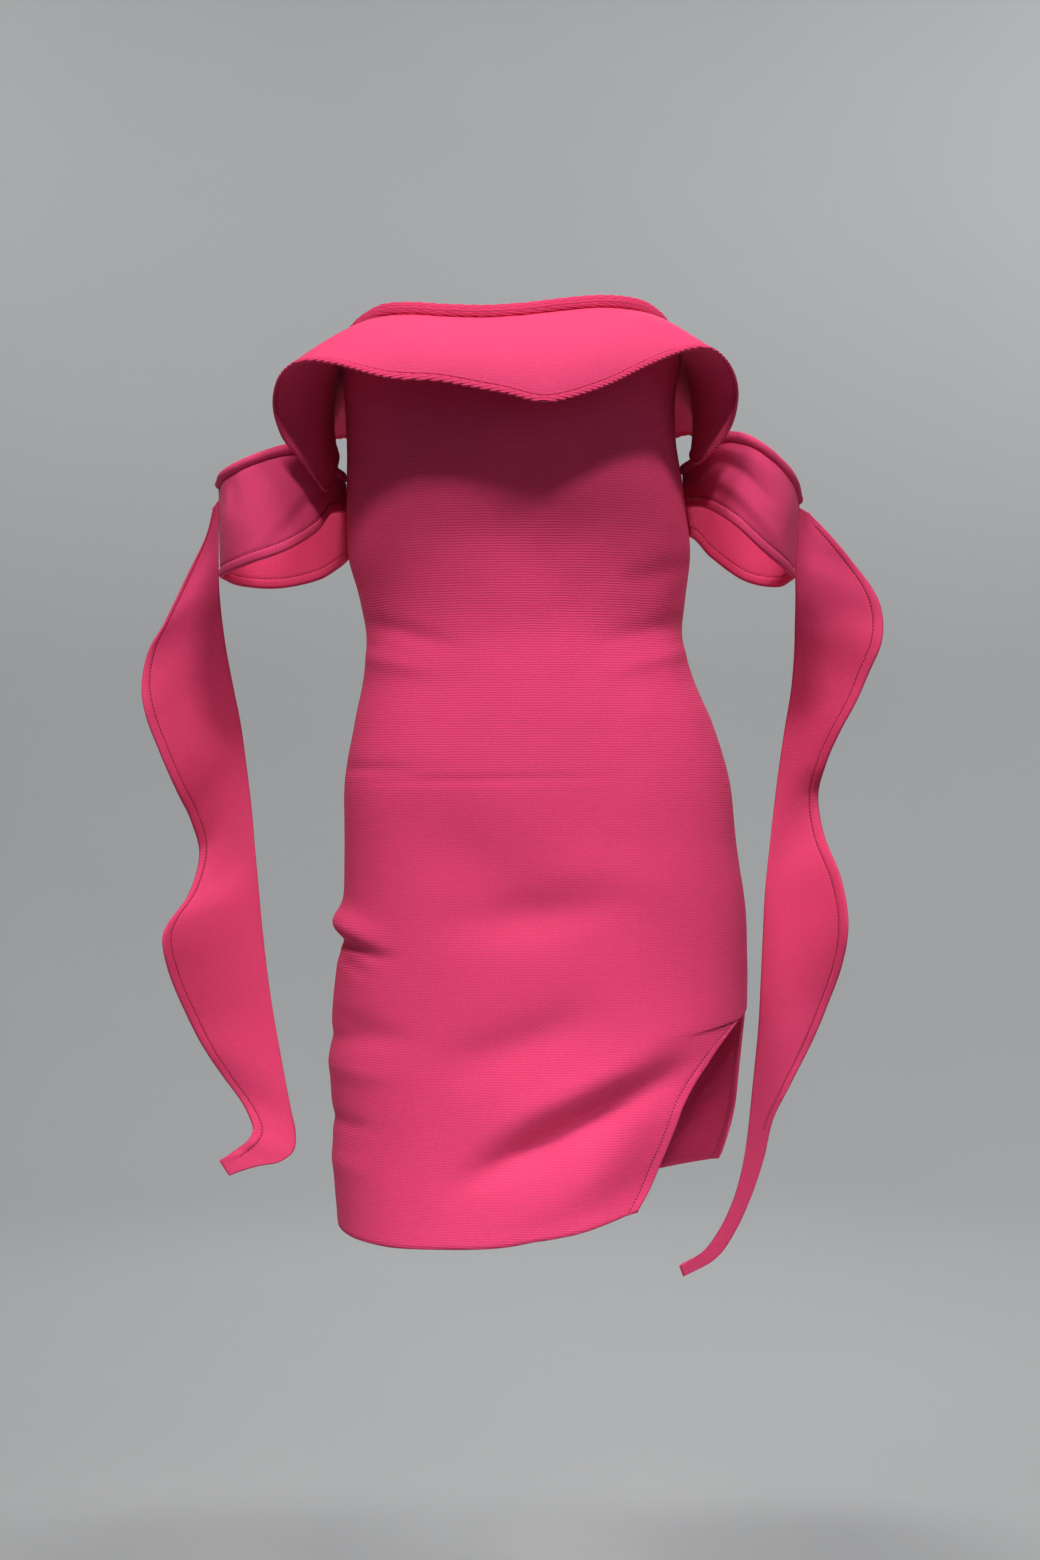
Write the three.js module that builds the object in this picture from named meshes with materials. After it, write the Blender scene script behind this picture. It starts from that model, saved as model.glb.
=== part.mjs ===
// Strapless bodycon dress in ribbed bandage knit, as it is worn, with no wearer in it.
// A flounce falls from the bound neckline, an off-shoulder band goes round each arm,
// and a long tapering flounce hangs from the outer seam of each band.
// Millimetres, +Z up, the front faces -Y and +X is the right side seen from the front.
// The origin is the middle of the neckline opening.
import * as THREE from "three";

// Driving dimensions
const CLOTH = 2;
const SEAM_GAP = 0.3;
const HALF_GIRTH = 400;
const BAND_LENGTH = 110;
const FLOUNCE_SEAM_DROP = 1.5;
const FLOUNCE_SEAM_OUT = 2.4;
const BAND_SEAM_OUT = 2.4;
const BAND_BELLY = 3;
const BINDING = { height: 10, thickness: 5.2 };
const EDGE_BINDING = { width: 5.5, thickness: 3.6 };
const BAND_ROLL_RADIUS = 3.8;
const SIDE_SEAM_Y = 4;
const SLIT_TOP_Z = -512;
const KEPT_SHARE = 0.5;
const ARC_SAMPLES = 96;
const STEP = 1e-3;

// How many columns and rows of faces each piece has
const MESH = {
  front: [32, 28],
  back: [24, 22],
  flounceFront: [60, 5],
  flounceBack: [40, 5],
  band: [14, 4],
  hanging: [5, 50],
};

// A short table as one list of numbers for each named column.
function table(columns, rows) {
  return Object.fromEntries(columns.map((name, k) => [name, rows.map((row) => row[k])]));
}

// Horizontal sections of the figure: where the cloth's middle is at the left, right, front and back,
// and how square the section is (2 is an ellipse).
const BODY = table(
  ["z", "left", "right", "front", "back", "square"],
  [
    [16, -134, 132, -103, 89, 2.6],
    [0, -135, 133, -107, 90, 2.6],
    [-35, -133, 124, -117, 93, 2.55],
    [-75, -131, 123, -122, 93, 2.5],
    [-120, -131, 130, -113, 89, 2.45],
    [-165, -130, 135, -98, 82, 2.4],
    [-200, -121, 131, -91, 76, 2.3],
    [-230, -116, 129, -88, 75, 2.3],
    [-262, -118, 138, -91, 84, 2.3],
    [-295, -125, 152, -96, 100, 2.35],
    [-340, -133, 165, -101, 118, 2.4],
    [-393, -133, 171, -103, 126, 2.45],
    [-434, -134, 177, -104, 126, 2.45],
    [-480, -138, 179, -104, 119, 2.45],
    [-520, -142, 179, -103, 110, 2.45],
    [-560, -144, 179, -101, 103, 2.45],
    [-600, -142, 179, -99, 98, 2.45],
    [-650, -141, 177, -97, 95, 2.45],
    [-690, -137, 174, -96, 93, 2.45],
  ],
);

// The neckline's upper edge, by the share of the front or back from the left seam to the right.
const NECKLINE = {
  front: table(
    ["share", "z"],
    [[0, -9], [0.09, -3], [0.151, 3.2], [0.197, 9.1], [0.246, 13.9], [0.309, 12.8], [0.373, 9.8],
      [0.452, 8.3], [0.525, 10.5], [0.606, 14.9], [0.662, 17.4], [0.719, 17.6], [0.754, 15.5],
      [0.787, 9.6], [0.814, 2.9], [0.88, -4], [1, -8]],
  ),
  back: table(["share", "z"], [[0, -9], [0.25, -8], [0.5, -7], [0.75, -7], [1, -8]]),
};

// The hem, by the same share.
const HEM = {
  front: table(
    ["share", "z"],
    [[0, -681], [0.102, -683], [0.143, -686.8], [0.224, -688.2], [0.305, -687], [0.425, -684.4],
      [0.5, -679], [0.566, -674], [0.631, -666.4], [0.674, -661], [1, -630]],
  ),
  back: table(["share", "z"], [[0, -681], [0.3, -682], [0.6, -670], [0.86, -645], [1, -632]]),
};

// The slit's two curved edges, by the share of the panel that is left below its top.
const SLIT = {
  front: table(
    ["z", "share"],
    [[-661, 0.674], [-645, 0.696], [-615, 0.721], [-586, 0.744], [-572, 0.762], [-554, 0.794],
      [-538, 0.827], [-526, 0.868], [-519.5, 0.921], [SLIT_TOP_Z, 1]],
  ),
  back: table(
    ["z", "share"],
    [[-650, 0.855], [-644, 0.875], [-637, 0.886], [-616, 0.907], [-595, 0.924], [-567, 0.94],
      [-542, 0.96], [-526, 0.98], [SLIT_TOP_Z, 1]],
  ),
};

// Soft folds: each runs from one point to another on the panel seen from the front or back.
const FOLDS = {
  front: table(
    ["x0", "z0", "x1", "z1", "width", "rise"],
    [
      [165, -490, -45, -592, 26, 3],
      [150, -533, -60, -640, 17, -6.5],
      [125, -590, -20, -668, 18, 3.5],
      [-95, -352, 48, -466, 28, -4],
      [-185, -424, -78, -476, 9, 8],
      [-185, -444, -72, -486, 8, -5],
    ],
  ),
  back: table(
    ["x0", "z0", "x1", "z1", "width", "rise"],
    [
      [120, -235, -70, -262, 12, -4],
      [-120, -262, 60, -292, 13, -4],
      [150, -540, -20, -600, 22, -4],
      [-185, -424, -78, -476, 9, 8],
      [-185, -444, -72, -486, 8, -5],
    ],
  ),
};

// The flounce's lower edge, by the share of the neckline seam that it falls from. Arch is how far the
// cloth stands above a straight line from the seam to the edge.
const FLOUNCE = {
  front: table(
    ["share", "x", "y", "z", "arch"],
    [
      [0, -140, 4, -82, 6],
      [0.022, -138, -20, -94, 5],
      [0.05, -143, -41, -120, 5],
      [0.075, -150, -53, -114, 4],
      [0.1, -164, -64, -97, 3],
      [0.12, -175, -71, -84, 2],
      [0.14, -181, -80, -64, 2],
      [0.165, -177, -94, -47, 2],
      [0.19, -165, -110, -38, 3],
      [0.215, -151, -125, -37, 5],
      [0.25, -133, -136, -41.5, 8],
      [0.29, -109, -145, -48.5, 11],
      [0.335, -81, -151, -55, 13],
      [0.395, -47, -156, -59, 14],
      [0.465, -11, -160, -65.5, 14],
      [0.545, 22, -162, -72, 14],
      [0.625, 59, -156, -62, 14],
      [0.7, 96, -142, -43.5, 11],
      [0.76, 126, -127, -29.5, 6],
      [0.795, 142, -119, -28, 3],
      [0.825, 154, -103, -33, 2],
      [0.85, 162, -89, -43, 2],
      [0.87, 165, -77, -56, 2],
      [0.895, 162, -70, -74, 3],
      [0.92, 153, -64, -89, 4],
      [0.945, 142, -55, -98, 5],
      [0.962, 136, -43, -100, 5],
      [0.98, 134, -20, -90, 5],
      [1, 140, 4, -82, 6],
    ],
  ),
  back: table(
    ["share", "x", "y", "z", "arch"],
    [
      [0, -140, 4, -82, 6],
      [0.04, -146, 34, -92, 5],
      [0.09, -154, 62, -96, 5],
      [0.15, -166, 92, -76, 5],
      [0.21, -156, 122, -56, 6],
      [0.28, -122, 146, -54, 9],
      [0.37, -74, 152, -74, 13],
      [0.46, -24, 148, -84, 12],
      [0.54, 20, 154, -66, 13],
      [0.62, 62, 152, -72, 13],
      [0.7, 104, 138, -66, 9],
      [0.78, 142, 120, -52, 6],
      [0.85, 160, 90, -66, 5],
      [0.91, 154, 62, -90, 5],
      [0.96, 146, 34, -90, 5],
      [1, 140, 4, -82, 6],
    ],
  ),
};

// Each arm band from the outer seam, at share 0, to where it is sewn to the dress, at share 1.
const BAND_COLUMNS = ["share", "topX", "topY", "topZ", "lowX", "lowY", "lowZ"];
const BANDS = {
  left: {
    front: table(BAND_COLUMNS, [
      [0, -232, 2, -113, -231, 2, -181],
      [0.2, -223, -29, -109, -221, -31, -180],
      [0.42, -200, -48, -101, -199, -51, -174],
      [0.62, -173, -50, -93, -172, -52, -164],
      [0.78, -155, -39, -92, -152, -38, -149],
      [0.9, -145, -20, -102, -143, -18, -133],
      [1, -134, 3, -108, -134, 3, -130],
    ]),
    back: table(BAND_COLUMNS, [
      [0, -232, 2, -113, -231, 2, -181],
      [0.25, -221, 35, -112, -220, 37, -184],
      [0.5, -194, 54, -109, -192, 58, -184],
      [0.75, -161, 48, -104, -159, 50, -178],
      [0.9, -144, 27, -105, -141, 26, -171],
      [1, -134, 6, -108, -132, 6, -167],
    ]),
  },
  right: {
    front: table(BAND_COLUMNS, [
      [0, 221, 2, -125, 217, 2, -182],
      [0.2, 212, -24, -111, 206, -28, -177],
      [0.42, 193, -41, -95, 187, -45, -164],
      [0.62, 171, -47, -84, 166, -48, -145],
      [0.8, 152, -38, -84, 149, -33, -132],
      [0.92, 142, -17, -95, 140, -14, -127],
      [1, 131, 3, -101, 132, 3, -126],
    ]),
    back: table(BAND_COLUMNS, [
      [0, 221, 2, -125, 217, 2, -182],
      [0.25, 211, 33, -123, 208, 36, -185],
      [0.5, 188, 52, -115, 184, 56, -178],
      [0.75, 159, 47, -106, 156, 46, -160],
      [0.9, 144, 26, -102, 142, 24, -149],
      [1, 131, 6, -101, 133, 6, -147],
    ]),
  },
};

// The long flounces: the inner edge, the outer edge, and how far the cloth between them bows backwards.
const HANGING_COLUMNS = ["row", "inX", "inY", "inZ", "outX", "outY", "outZ", "bow"];
const HANGING = {
  left: table(HANGING_COLUMNS, [
    [0, -233.3, 3, -122, -237, 4, -127, 0],
    [1, -233.3, 3, -134, -244, 8, -150, 1],
    [2, -233.3, 3, -152, -259, 9, -181, 3],
    [3, -233.3, 3, -172, -276, 7, -217, 5],
    [4, -233.5, 8, -192, -288, 3, -240, 7],
    [5, -233, 19, -213, -292, 0, -266, 8],
    [6, -231, 31, -238, -288, 0, -291, 8],
    [7, -227, 42, -266, -278, 7, -320, 6],
    [8, -222, 50, -296, -267, 20, -350, 4],
    [9, -218, 55, -330, -259, 36, -372, 2],
    [10, -214, 56, -365, -254, 50, -399, 0],
    [11, -211, 55, -400, -260, 32, -430, 6],
    [12, -208, 54, -432, -272, -2, -453, 9],
    [13, -205, 53, -462, -274, -12, -468, 9],
    [14, -201, 51, -495, -269, 0, -495, 6],
    [15, -196, 49, -528, -257, 15, -529, 3],
    [16, -190, 47, -560, -246, 24, -553, 1],
    [17, -185, 44, -585, -232, 31, -577, 0],
    [18, -181, 42, -604, -217, 36, -599, 0],
    [19, -177, 38, -621, -209, 33, -616, 0],
    [20, -178, 32, -635, -211, 28, -625, 0],
    [21, -189, 27, -643, -218, 24, -631, 0],
    [22, -204, 22, -645, -224, 20, -635, 0],
    [23, -217, 18, -648, -229, 17, -638, 0],
    [24, -226, 15, -651, -233, 15, -640, 0],
  ]),
  right: table(HANGING_COLUMNS, [
    [0, 222.1, 3, -128, 229, 4, -131, 0],
    [1, 221.2, 3, -141, 244, 7, -146, 1],
    [2, 220.3, 3, -157, 263, 8, -168, 3],
    [3, 219.1, 3, -175, 279, 7, -190, 5],
    [4, 220, 9, -196, 286, 5, -210, 7],
    [5, 221, 20, -216, 285, 4, -232, 8],
    [6, 222, 33, -240, 277, 8, -254, 8],
    [7, 221, 44, -268, 268, 15, -277, 6],
    [8, 217, 52, -298, 256, 26, -302, 4],
    [9, 213, 56, -328, 247, 42, -327, 2],
    [10, 209, 57, -360, 243, 58, -353, 0],
    [11, 205, 55, -394, 247, 50, -385, 4],
    [12, 201, 52, -430, 257, 26, -418, 7],
    [13, 199, 50, -466, 261, 16, -452, 7],
    [14, 197, 47, -502, 257, 23, -487, 4],
    [15, 195, 45, -536, 247, 33, -520, 2],
    [16, 192, 43, -566, 234, 39, -553, 0],
    [17, 189, 42, -594, 219, 42, -583, 0],
    [18, 186, 42, -622, 205, 43, -612, 0],
    [19, 182, 42, -648, 198, 43, -642, 0],
    [20, 175, 41, -674, 188, 42, -672, 0],
    [21, 164, 40, -698, 175, 41, -700, 0],
    [22, 150, 39, -717, 159, 40, -722, 0],
    [23, 131, 38, -728, 134, 39, -736, 0],
  ]),
};

// A column of a table at one value of its key column, on a smooth curve through the rows.
function along(rows, key, column, at) {
  const k = rows[key];
  const v = rows[column];
  const rising = k[k.length - 1] > k[0];
  let i = 0;
  while (i < k.length - 2 && (rising ? at > k[i + 1] : at < k[i + 1])) i++;
  const slope = (j) => {
    const a = Math.max(j - 1, 0);
    const b = Math.min(j + 1, k.length - 1);
    return (v[b] - v[a]) / (k[b] - k[a]);
  };
  const h = k[i + 1] - k[i];
  const t = THREE.MathUtils.clamp((at - k[i]) / h, 0, 1);
  const t2 = t * t;
  const t3 = t2 * t;
  return (
    v[i] * (2 * t3 - 3 * t2 + 1) +
    v[i + 1] * (3 * t2 - 2 * t3) +
    h * (slope(i) * (t3 - 2 * t2 + t) + slope(i + 1) * (t3 - t2))
  );
}

// The section at one height: half a superellipse for the front and half for the back.
function section(z) {
  const at = (column) => along(BODY, "z", column, z);
  const [left, right] = [at("left"), at("right")];
  return {
    middle: (left + right) / 2,
    half: (right - left) / 2,
    front: at("front"),
    back: at("back"),
    power: 2 / at("square"),
  };
}

// A point of the section at an angle from the left seam, 0, over the front or back, to the right seam, pi.
function sectionPoint(s, side, angle) {
  const cosine = Math.cos(angle);
  const reach = Math.sin(angle) ** s.power * (s[side] - SIDE_SEAM_Y);
  return [s.middle - s.half * Math.sign(cosine) * Math.abs(cosine) ** s.power, SIDE_SEAM_Y + reach];
}

// The figure's surface, by the share of the way round the front or back and the height.
function figure(side, share, z) {
  const s = section(z);
  const reached = [0];
  const angles = [0];
  let last = sectionPoint(s, side, 0);
  for (let i = 1; i <= ARC_SAMPLES; i++) {
    const even = i / ARC_SAMPLES;
    const angle = Math.PI * (even - Math.sin(2 * Math.PI * even) / (2 * Math.PI));
    const point = sectionPoint(s, side, Math.min(angle, Math.PI));
    reached.push(reached[i - 1] + Math.hypot(point[0] - last[0], point[1] - last[1]));
    angles.push(angle);
    last = point;
  }
  const wanted = THREE.MathUtils.clamp(share, 0, 1) * reached[ARC_SAMPLES];
  let i = 0;
  while (i < ARC_SAMPLES - 1 && reached[i + 1] < wanted) i++;
  const part = (wanted - reached[i]) / (reached[i + 1] - reached[i]);
  const [x, y] = sectionPoint(s, side, Math.min(angles[i] + part * (angles[i + 1] - angles[i]), Math.PI));
  return new THREE.Vector3(x, y, z);
}

// The unit normal of a surface of two parameters, from its slopes.
function normalOf(surface, u, v) {
  const [u0, u1] = [Math.max(u - STEP, 0), Math.min(u + STEP, 1)];
  const [v0, v1] = [Math.max(v - STEP, 0), Math.min(v + STEP, 1)];
  const across = surface(u1, v).sub(surface(u0, v));
  const down = surface(u, v1).sub(surface(u, v0));
  return across.cross(down).normalize();
}

// The level outward direction of the figure at one place.
function outwardOf(side, share, z) {
  const a = figure(side, Math.max(share - STEP, 0), z);
  const b = figure(side, Math.min(share + STEP, 1), z);
  const turn = side === "front" ? 1 : -1;
  return new THREE.Vector3((b.y - a.y) * turn, (a.x - b.x) * turn, 0).normalize();
}

// How far the folds lift the cloth at one place: a bell across each fold, fading to its ends.
function foldRise(side, x, z) {
  const f = FOLDS[side];
  let rise = 0;
  for (let i = 0; i < f.x0.length; i++) {
    const [runX, runZ] = [f.x1[i] - f.x0[i], f.z1[i] - f.z0[i]];
    const length = Math.hypot(runX, runZ);
    const [dx, dz] = [x - f.x0[i], z - f.z0[i]];
    const share = (dx * runX + dz * runZ) / (length * length);
    if (share <= 0 || share >= 1) continue;
    const aside = (dx * runZ - dz * runX) / length;
    rise += f.rise[i] * Math.sin(Math.PI * share) ** 1.2 * Math.exp(-((aside / f.width[i]) ** 2));
  }
  return rise;
}

// The cloth's middle surface, folds and all, moved out by some millimetres.
function clothPoint(side, share, z, out = 0) {
  const point = figure(side, share, z);
  const lift = foldRise(side, point.x, z) + out;
  return point.addScaledVector(outwardOf(side, share, z), lift);
}

// A front or back panel, from under the binding to the hem, cut away at the slit.
function panelSurface(side) {
  const top = (share) => along(NECKLINE[side], "share", "z", share) - BINDING.height - 2 * SEAM_GAP;
  const low = (share) => along(HEM[side], "share", "z", share);
  const trim = SEAM_GAP / 2 / HALF_GIRTH;
  const height = (share, v) => THREE.MathUtils.lerp(top(share), low(share), v);
  const lastShare = (v) => {
    let share = 1;
    for (let i = 0; i < 12; i++) {
      const z = height(share, v);
      const wanted = z > SLIT_TOP_Z ? 1 : along(SLIT[side], "z", "share", z);
      share += (wanted - share) * 0.7;
    }
    return Math.min(share, 1 - trim);
  };
  return (u, v) => {
    const beyond = THREE.MathUtils.clamp((u - KEPT_SHARE) / (1 - KEPT_SHARE), 0, 1);
    const share = Math.max(Math.min(u, KEPT_SHARE), trim) + beyond * (lastShare(v) - KEPT_SHARE);
    return clothPoint(side, share, height(share, v));
  };
}

// The flounce: from the seam under the binding out to its waved edge, arched between them.
function flounceSurface(side) {
  const rows = FLOUNCE[side];
  const trim = SEAM_GAP / HALF_GIRTH;
  return (u, v) => {
    const share = THREE.MathUtils.clamp(u, trim, 1 - trim);
    const seamZ = along(NECKLINE[side], "share", "z", share) - BINDING.height - FLOUNCE_SEAM_DROP;
    const seam = figure(side, share, seamZ);
    const outward = outwardOf(side, share, seamZ);
    seam.addScaledVector(outward, FLOUNCE_SEAM_OUT);
    const at = (column) => along(rows, "share", column, share);
    const fall = new THREE.Vector3(at("x"), at("y"), at("z")).sub(seam);
    const straight = fall.clone().normalize();
    const lift = outward.clone().add(new THREE.Vector3(0, 0, 1));
    lift.addScaledVector(straight, -lift.dot(straight)).normalize();
    return seam.addScaledVector(fall, v).addScaledVector(lift, at("arch") * 4 * v * (1 - v));
  };
}

// Moves a point outwards, where it must be, to lie at least so far from the dress's side seam.
function keepOutside(point, arm, distance) {
  const turn = arm === "left" ? -1 : 1;
  const edge = figure("front", arm === "left" ? 0 : 1, point.z).x + turn * distance;
  point.x = turn * Math.max(turn * point.x, turn * edge);
}

// A band's front or back half. Its last column lies against the side of the dress.
function bandSurface(arm, side) {
  const rows = BANDS[arm][side];
  const turn = arm === "left" ? -1 : 1;
  const trim = 1.5 * SEAM_GAP / BAND_LENGTH;
  return (u, v) => {
    const share = THREE.MathUtils.lerp(trim, 1, u);
    const at = (column) => along(rows, "share", column, share);
    const top = new THREE.Vector3(at("topX"), at("topY"), at("topZ"));
    const low = new THREE.Vector3(at("lowX"), at("lowY"), at("lowZ"));
    const point = top.lerp(low, v);
    const belly = BAND_BELLY * Math.sin(Math.PI * v) * Math.sin(Math.PI * share);
    point.x += turn * belly;
    point.y += (side === "front" ? -1 : 1) * belly;
    keepOutside(point, arm, BAND_SEAM_OUT);
    return point;
  };
}

// The middle line of the roll along a band's top edge, all the way round the arm.
function bandRollPath(arm) {
  const front = bandSurface(arm, "front");
  const back = bandSurface(arm, "back");
  return (t) => {
    const point = t < 0.5 ? front(1 - 2 * t, 0) : back(2 * t - 1, 0);
    point.z += BAND_ROLL_RADIUS + SEAM_GAP;
    keepOutside(point, arm, BAND_ROLL_RADIUS + CLOTH / 2 + 0.5);
    return point;
  };
}

// A hanging flounce: straight across between its edges, but for a bow.
function hangingSurface(arm) {
  const rows = HANGING[arm];
  const last = rows.row[rows.row.length - 1];
  return (u, v) => {
    const at = (column) => along(rows, "row", column, v * last);
    const inner = new THREE.Vector3(at("inX"), at("inY"), at("inZ"));
    const outer = new THREE.Vector3(at("outX"), at("outY"), at("outZ"));
    const point = inner.lerp(outer, u);
    point.y += at("bow") * 4 * u * (1 - u);
    return point;
  };
}

// A closed geometry from vertices and faces of three or four corners.
function solid(vertices, faces) {
  const index = faces.flatMap(([a, b, c, d]) => (d === undefined ? [a, b, c] : [a, b, c, a, c, d]));
  const geometry = new THREE.BufferGeometry();
  const positions = vertices.flatMap((p) => p.toArray());
  geometry.setAttribute("position", new THREE.Float32BufferAttribute(positions, 3));
  geometry.setIndex(index);
  geometry.computeVertexNormals();
  return geometry;
}

// A wall of cloth: the surface moved half a thickness to each side, and closed round its four edges.
function wall(surface, [columns, rows]) {
  const vertices = [];
  const [near, far] = [[], []];
  for (let j = 0; j <= rows; j++) {
    for (let i = 0; i <= columns; i++) {
      const [u, v] = [i / columns, j / rows];
      const out = normalOf(surface, u, v).multiplyScalar(CLOTH / 2);
      near.push(vertices.push(surface(u, v).add(out)) - 1);
      far.push(vertices.push(surface(u, v).sub(out)) - 1);
    }
  }
  const id = (i, j) => j * (columns + 1) + i;
  const faces = [];
  for (let j = 0; j < rows; j++) {
    for (let i = 0; i < columns; i++) {
      const [a, b, c, d] = [id(i, j), id(i + 1, j), id(i + 1, j + 1), id(i, j + 1)];
      faces.push([near[a], near[b], near[c], near[d]], [far[d], far[c], far[b], far[a]]);
    }
  }
  const rim = (a, b) => faces.push([near[b], near[a], far[a], far[b]]);
  for (let i = 0; i < columns; i++) {
    rim(id(i, 0), id(i + 1, 0));
    rim(id(i + 1, rows), id(i, rows));
  }
  for (let j = 0; j < rows; j++) {
    rim(id(0, j + 1), id(0, j));
    rim(id(columns, j), id(columns, j + 1));
  }
  return solid(vertices, faces);
}

// A bar along a nearly level path: its section lies across the path, upright. A ring joins up with itself.
function bar(path, profile, stops, ring) {
  const vertices = [];
  const up = new THREE.Vector3(0, 0, 1);
  for (const t of stops) {
    const before = ring ? path((t - STEP + 1) % 1) : path(Math.max(t - STEP, 0));
    const after = ring ? path((t + STEP) % 1) : path(Math.min(t + STEP, 1));
    const side = after.sub(before).setZ(0).cross(up).normalize();
    for (const [out, high] of profile) {
      vertices.push(path(t).addScaledVector(side, out).addScaledVector(up, high));
    }
  }
  return solid(vertices, barFaces(stops.length, profile.length, ring));
}

// The faces of a bar: bands from each section to the next, and two flat ends unless it is a ring.
function barFaces(rings, count, ring) {
  const faces = [];
  for (let i = 0; i < (ring ? rings : rings - 1); i++) {
    const next = (i + 1) % rings;
    for (let k = 0; k < count; k++) {
      const l = (k + 1) % count;
      faces.push([i * count + l, i * count + k, next * count + k, next * count + l]);
    }
  }
  if (!ring) {
    const last = (rings - 1) * count;
    for (let k = 1; k < count - 1; k++) {
      faces.push([0, k, k + 1], [last, last + k + 1, last + k]);
    }
  }
  return faces;
}

// A bar along the lower edge of a surface. Its section is given through the cloth and out past the edge.
function edgeBar(surface, profile, columns) {
  const vertices = [];
  for (let i = 0; i <= columns; i++) {
    const u = i / columns;
    const through = normalOf(surface, u, 1);
    const edge = surface(u, 1);
    const past = edge.clone().sub(surface(u, 1 - STEP)).normalize();
    for (const [a, b] of profile) {
      vertices.push(edge.clone().addScaledVector(through, a).addScaledVector(past, b));
    }
  }
  return solid(vertices, barFaces(columns + 1, profile.length, false));
}

// A surface that ends some millimetres before its lower edge.
function endedShort(surface, short) {
  return (u, v) => surface(u, v * (1 - short / surface(u, 0).distanceTo(surface(u, 1))));
}

// The ribbed binding that rounds off the flounce's lower edge.
function edgeBindingGeometry(side, columns) {
  const [t, w] = [EDGE_BINDING.thickness / 2, EDGE_BINDING.width];
  const profile = [[t, -w], [t, -w * 0.27], [t * 0.45, 0], [-t * 0.45, 0], [-t, -w * 0.27], [-t, -w]];
  return edgeBar(flounceSurface(side), profile, columns);
}

// The neckline binding folds over the raw edge, so its section is centred on the cloth.
function bindingGeometry() {
  const path = (t) => {
    const side = t < 0.5 ? "front" : "back";
    const share = t < 0.5 ? 2 * t : 2 - 2 * t;
    const z = along(NECKLINE[side], "share", "z", share) - BINDING.height / 2;
    return figure(side, share, z);
  };
  const [w, h] = [BINDING.thickness / 2, BINDING.height / 2];
  const profile = [
    [w, -h * 0.75], [w, h * 0.6], [w * 0.5, h], [-w * 0.5, h],
    [-w, h * 0.6], [-w, -h * 0.75], [-w * 0.6, -h], [w * 0.6, -h],
  ];
  const [frontColumns, backColumns] = [MESH.front[0], MESH.back[0]];
  const stops = [];
  for (let i = 0; i < frontColumns; i++) stops.push(i / frontColumns / 2);
  for (let i = 0; i < backColumns; i++) stops.push(0.5 + i / backColumns / 2);
  return bar(path, profile, stops, true);
}

// The roll along the top edge of an arm band.
function bandRollGeometry(arm) {
  const profile = [];
  const corners = 6;
  for (let k = 0; k < corners; k++) {
    const a = ((k + 0.5) / corners) * 2 * Math.PI;
    profile.push([BAND_ROLL_RADIUS * Math.cos(a), BAND_ROLL_RADIUS * Math.sin(a)]);
  }
  const columns = 2 * MESH.band[0];
  const stops = Array.from({ length: columns + 1 }, (_, i) => i / columns);
  return bar(bandRollPath(arm), profile, stops, false);
}

const knit = new THREE.MeshStandardMaterial({ color: 0xe03668, roughness: 0.85, metalness: 0 });
const smoothKnit = new THREE.MeshStandardMaterial({ color: 0xee4478, roughness: 0.8, metalness: 0 });

const dress = new THREE.Group();
function add(name, geometry, material) {
  const mesh = new THREE.Mesh(geometry, material);
  mesh.name = name;
  dress.add(mesh);
}

for (const side of ["front", "back"]) {
  add(`body_${side}`, wall(panelSurface(side), MESH[side]), knit);
  const size = side === "front" ? MESH.flounceFront : MESH.flounceBack;
  const flounce = endedShort(flounceSurface(side), EDGE_BINDING.width + 2 * SEAM_GAP);
  add(`bust_flounce_${side}`, wall(flounce, size), smoothKnit);
  add(`flounce_edge_binding_${side}`, edgeBindingGeometry(side, size[0]), knit);
}
add("neckline_binding", bindingGeometry(), knit);
for (const arm of ["left", "right"]) {
  for (const side of ["front", "back"]) {
    add(`arm_band_${side}_${arm}`, wall(bandSurface(arm, side), MESH.band), smoothKnit);
  }
  add(`arm_band_roll_${arm}`, bandRollGeometry(arm), smoothKnit);
  add(`hanging_flounce_${arm}`, wall(hangingSurface(arm), MESH.hanging), smoothKnit);
}

export default dress;
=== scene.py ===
import math

import bpy
import numpy as np
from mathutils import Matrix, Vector


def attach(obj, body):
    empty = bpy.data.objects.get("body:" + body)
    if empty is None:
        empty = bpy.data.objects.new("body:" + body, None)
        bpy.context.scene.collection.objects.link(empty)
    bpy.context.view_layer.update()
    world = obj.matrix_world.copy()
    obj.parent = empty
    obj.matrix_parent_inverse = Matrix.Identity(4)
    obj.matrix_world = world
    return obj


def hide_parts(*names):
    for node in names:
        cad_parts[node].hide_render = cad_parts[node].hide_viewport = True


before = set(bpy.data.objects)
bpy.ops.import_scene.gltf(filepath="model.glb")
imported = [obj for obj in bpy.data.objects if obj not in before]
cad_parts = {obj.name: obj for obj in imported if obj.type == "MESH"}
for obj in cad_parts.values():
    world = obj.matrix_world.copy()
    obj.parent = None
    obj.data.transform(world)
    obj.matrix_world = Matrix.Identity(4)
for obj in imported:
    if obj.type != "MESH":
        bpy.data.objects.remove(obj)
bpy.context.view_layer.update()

# Sizes in millimetres; meshes are written in metres.
MM = 0.001
CLOTH = 1.8
SEAM_GAP = 0.3
BINDING_HEIGHT, BINDING_THICKNESS = 10, 5.2
EDGE_BINDING_WIDTH, EDGE_BINDING_THICKNESS = 5.5, 3.6
BAND_ROLL_RADIUS = 3.8
SIDE_SEAM_Y = 4
SLIT_TOP_Z = -512

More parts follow.
